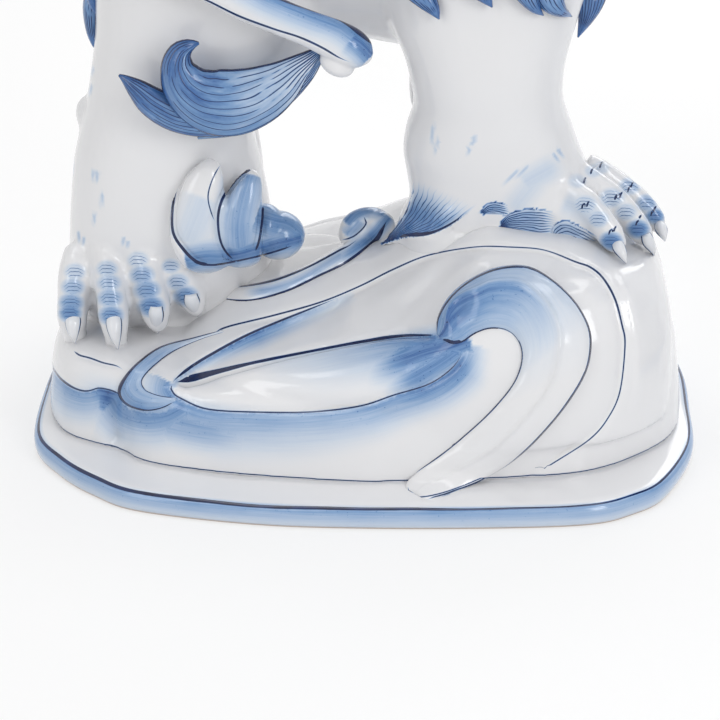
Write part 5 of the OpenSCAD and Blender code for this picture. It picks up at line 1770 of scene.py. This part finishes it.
def glaze_of(name, strokes):
    """Glaze with washes and lines, or with the strokes of a lock of fur."""
    g = Graph(bpy.data.materials.new(name))
    place = g.node("ShaderNodeTexCoord", {}, {}, "Object")
    cloudy, specks = g.noise(place, 9.0, 2.0), g.noise(place, 620.0, 2.0)
    patches = g.noise(place, 42.0, 4.0)
    blue, run, across, wide, comb = g.numbers("blue", "run", "across", "wide", "comb")
    if strokes:
        tone, streaky = g.numbers("tone", "streaky")
        streak = g.streaks(run * 0.035, across * 4.0, tone * 9, 4.0)
        bend = g.streaks(run * 0.03, across * 0.8, tone * 5)
        teeth = (across * 4.6 + bend * 1.6).math("FRACT")
        broken = g.step(g.streaks(run * 0.05, across * 2.4, 3.0, 2.0), 0.3, 0.46)
        hairs = (0.55 - abs(teeth - 0.5) * wide * 0.22).sharp(2.6) * broken * comb
        wash = (blue + (streak - 0.5) * streaky).clamp()
        ink = (wash + (specks - 0.5) * 0.12 * wash).clamp()
    else:
        off, = g.numbers("off")
        streak = g.streaks(run * 0.011, off * 0.3, 0.0, 5.0)
        fine = g.streaks(run * 0.03, off * 1.4, 4.0, 2.0)
        wash = (blue * (0.42 + streak * 0.72 + fine * 0.34 + (patches - 0.5) * 0.3)).clamp()
        dots = g.step(specks, 0.66, 0.74) * g.step(blue, 0.08, 0.5) * 0.35
        ink = (wash + dots * wash).clamp()
        hair = g.streaks(run * 0.06, across * 0.35, 2.0)
        teeth = (across + hair * 1.2).math("FRACT")
        hairs = (0.5 - abs(teeth - 0.5) * wide).sharp(2.6) * comb
    ink = ink.larger(hairs * 0.9)
    skips = g.streaks(run * 0.09, 0.5, 0.2)
    for gap, half in (g.numbers("gap_a", "half_a"), g.numbers("gap_b", "half_b")):
        ink = ink.larger((half * (0.9 + patches * 0.5) - abs(gap)).sharp(1.9)
                         * (0.8 + skips * 0.3))
    colour = g.node("ShaderNodeValToRGB", {"stops": INK}, {"Fac": ink.clamp()})
    # Hollows turn warmer and darker: partly glaze that pools there, partly painted shade
    pool, bare = g.numbers("pool", "bare")
    pool_shade_and_tone = g.step(pool, 0.25, 2.6) * 0.62 + (cloudy - 0.5) * 0.22
    colour = g.mix(pool_shade_and_tone.clamp(), colour, g.mix(1.0, colour, POOL_AND_SHADE_TINT, "MULTIPLY"))
    bump = g.node("ShaderNodeBump", {}, {
        "Strength": 0.35, "Distance": 0.0006,
        "Height": g.noise(place, 75.0, 2.0) * 0.35 + g.noise(place, 16.0, 1.0) + ink * 0.12})
    for socket, value in (("Base Color", g.mix(bare, colour, CLAY)), ("Normal", bump),
                          ("Roughness", 0.085 + cloudy * 0.05 + bare * 0.7 + ink * 0.05),
                          ("IOR", 1.5)):
        g.give(g.shader.inputs[socket], value)
    return g.owner


glaze = glaze_of("tin_glaze_brushed", False)
lock_glaze = glaze_of("tin_glaze_combed", True)
print("glazes", glaze.name, lock_glaze.name)

# %% [markdown]
# ## The twin
# The second lion comes from the mirrored mould, so each finished piece is copied with x turned
# over and its faces turned back outwards.

# %% Place the lion and its twin
# Nothing passes the CAD box; the head reaches past the plinth only on the inner side
LION_BOX = ((-189.95, -129.95, 0.0), (250.0, 169.95, 553.0))

for name, (piece, nodes, slot) in pieces.items():
    put(piece, (np.clip(places(piece), *LION_BOX) + LION_PLACE) * MM)
    twin = show(name.replace("left_", "right_"), piece.data.copy())
    twin.data.name = twin.name
    put(twin, places(twin) * [-1, 1, 1])
    twin.data.flip_normals()
    for side, made in (("left_", piece), ("right_", twin)):
        made.data.shade_smooth()
        made.data.materials.append(lock_glaze if name in combed else glaze)
        if nodes:
            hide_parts(*[side + n for n in nodes])
        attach(made, "root")
print(2 * len(pieces), "pieces placed")

# %% [markdown]
# ## Floor and light
# The figure stands on a white sweep. Two large soft boxes, left and right of the viewer, give
# the long highlights of the glaze, two more light its top and back, and the world is at its
# whitest only to the eye and in reflections.

# %% Floor, lamps and world
FLOOR_WHITE, FLOOR_GLOW, WORLD_DIM, WORLD_BRIGHT = 0.9, 0.6, 0.5, 1.0
form = bmesh.new()
bmesh.ops.create_grid(form, x_segments=1, y_segments=1, size=5)
floor = keep("floor", form)


def to_the_eye(g):
    """One for rays of the eye, of mirrors and of glass, nought for rays that only light."""
    eye, mirror, glass = (g.node("ShaderNodeLightPath", {}, {}, f"Is {kind} Ray")
                          for kind in ("Camera", "Glossy", "Transmission"))
    return eye.larger(mirror).larger(glass)


# To the eye a part of the paper's light is its own, which keeps it white under soft shadows
paper = Graph(bpy.data.materials.new("paper_floor"))
for socket, value in (("Base Color", (FLOOR_WHITE, FLOOR_WHITE, FLOOR_WHITE, 1)),
                      ("Roughness", 0.9), ("Specular IOR Level", 0.0)):
    paper.give(paper.shader.inputs[socket], value)
own_light = paper.node("ShaderNodeEmission", {}, {"Color": (1, 1, 1, 1)})
seen_part = paper.node("ShaderNodeMixShader", {}, {
    0: to_the_eye(paper) * FLOOR_GLOW, 1: Value(paper, paper.shader.outputs[0]), 2: own_light})
paper.give(paper.tree.nodes["Material Output"].inputs["Surface"], seen_part)
floor.data.materials.append(paper.owner)

studio = Graph(bpy.data.worlds.new("studio"))
bpy.context.scene.world = studio.owner
background = studio.tree.nodes["Background"]
studio.give(background.inputs["Color"], (1, 1, 1, 1))
studio.give(background.inputs["Strength"], studio.node("ShaderNodeMapRange", {}, {
    "Value": to_the_eye(studio), "To Min": WORLD_DIM, "To Max": WORLD_BRIGHT}))


def soft_box(name, place, aim, width, height, power):
    """A large square lamp that looks at a place."""
    data = bpy.data.lights.new(name, "AREA")
    data.shape = "RECTANGLE"
    data.size, data.size_y, data.energy = width, height, power
    lamp = show(name, data)
    lamp.location = place
    lamp.rotation_euler = (Vector(place) - Vector(aim)).to_track_quat("Z", "Y").to_euler()


soft_box("box_left", (-1.7, -1.5, 1.25), (-0.25, 0, 0.15), 0.9, 1.3, 9.5)
soft_box("box_right", (1.2, -1.6, 1.1), (-0.2, 0, 0.15), 0.6, 1.2, 15)
soft_box("box_top", (-0.1, 0.3, 1.9), (-0.1, 0, 0.2), 1.6, 1.2, 15)
soft_box("box_back", (0.3, 1.8, 1.2), (0, 0, 0.2), 1.4, 1.0, 12)
bpy.context.scene.view_settings.view_transform = "Standard"
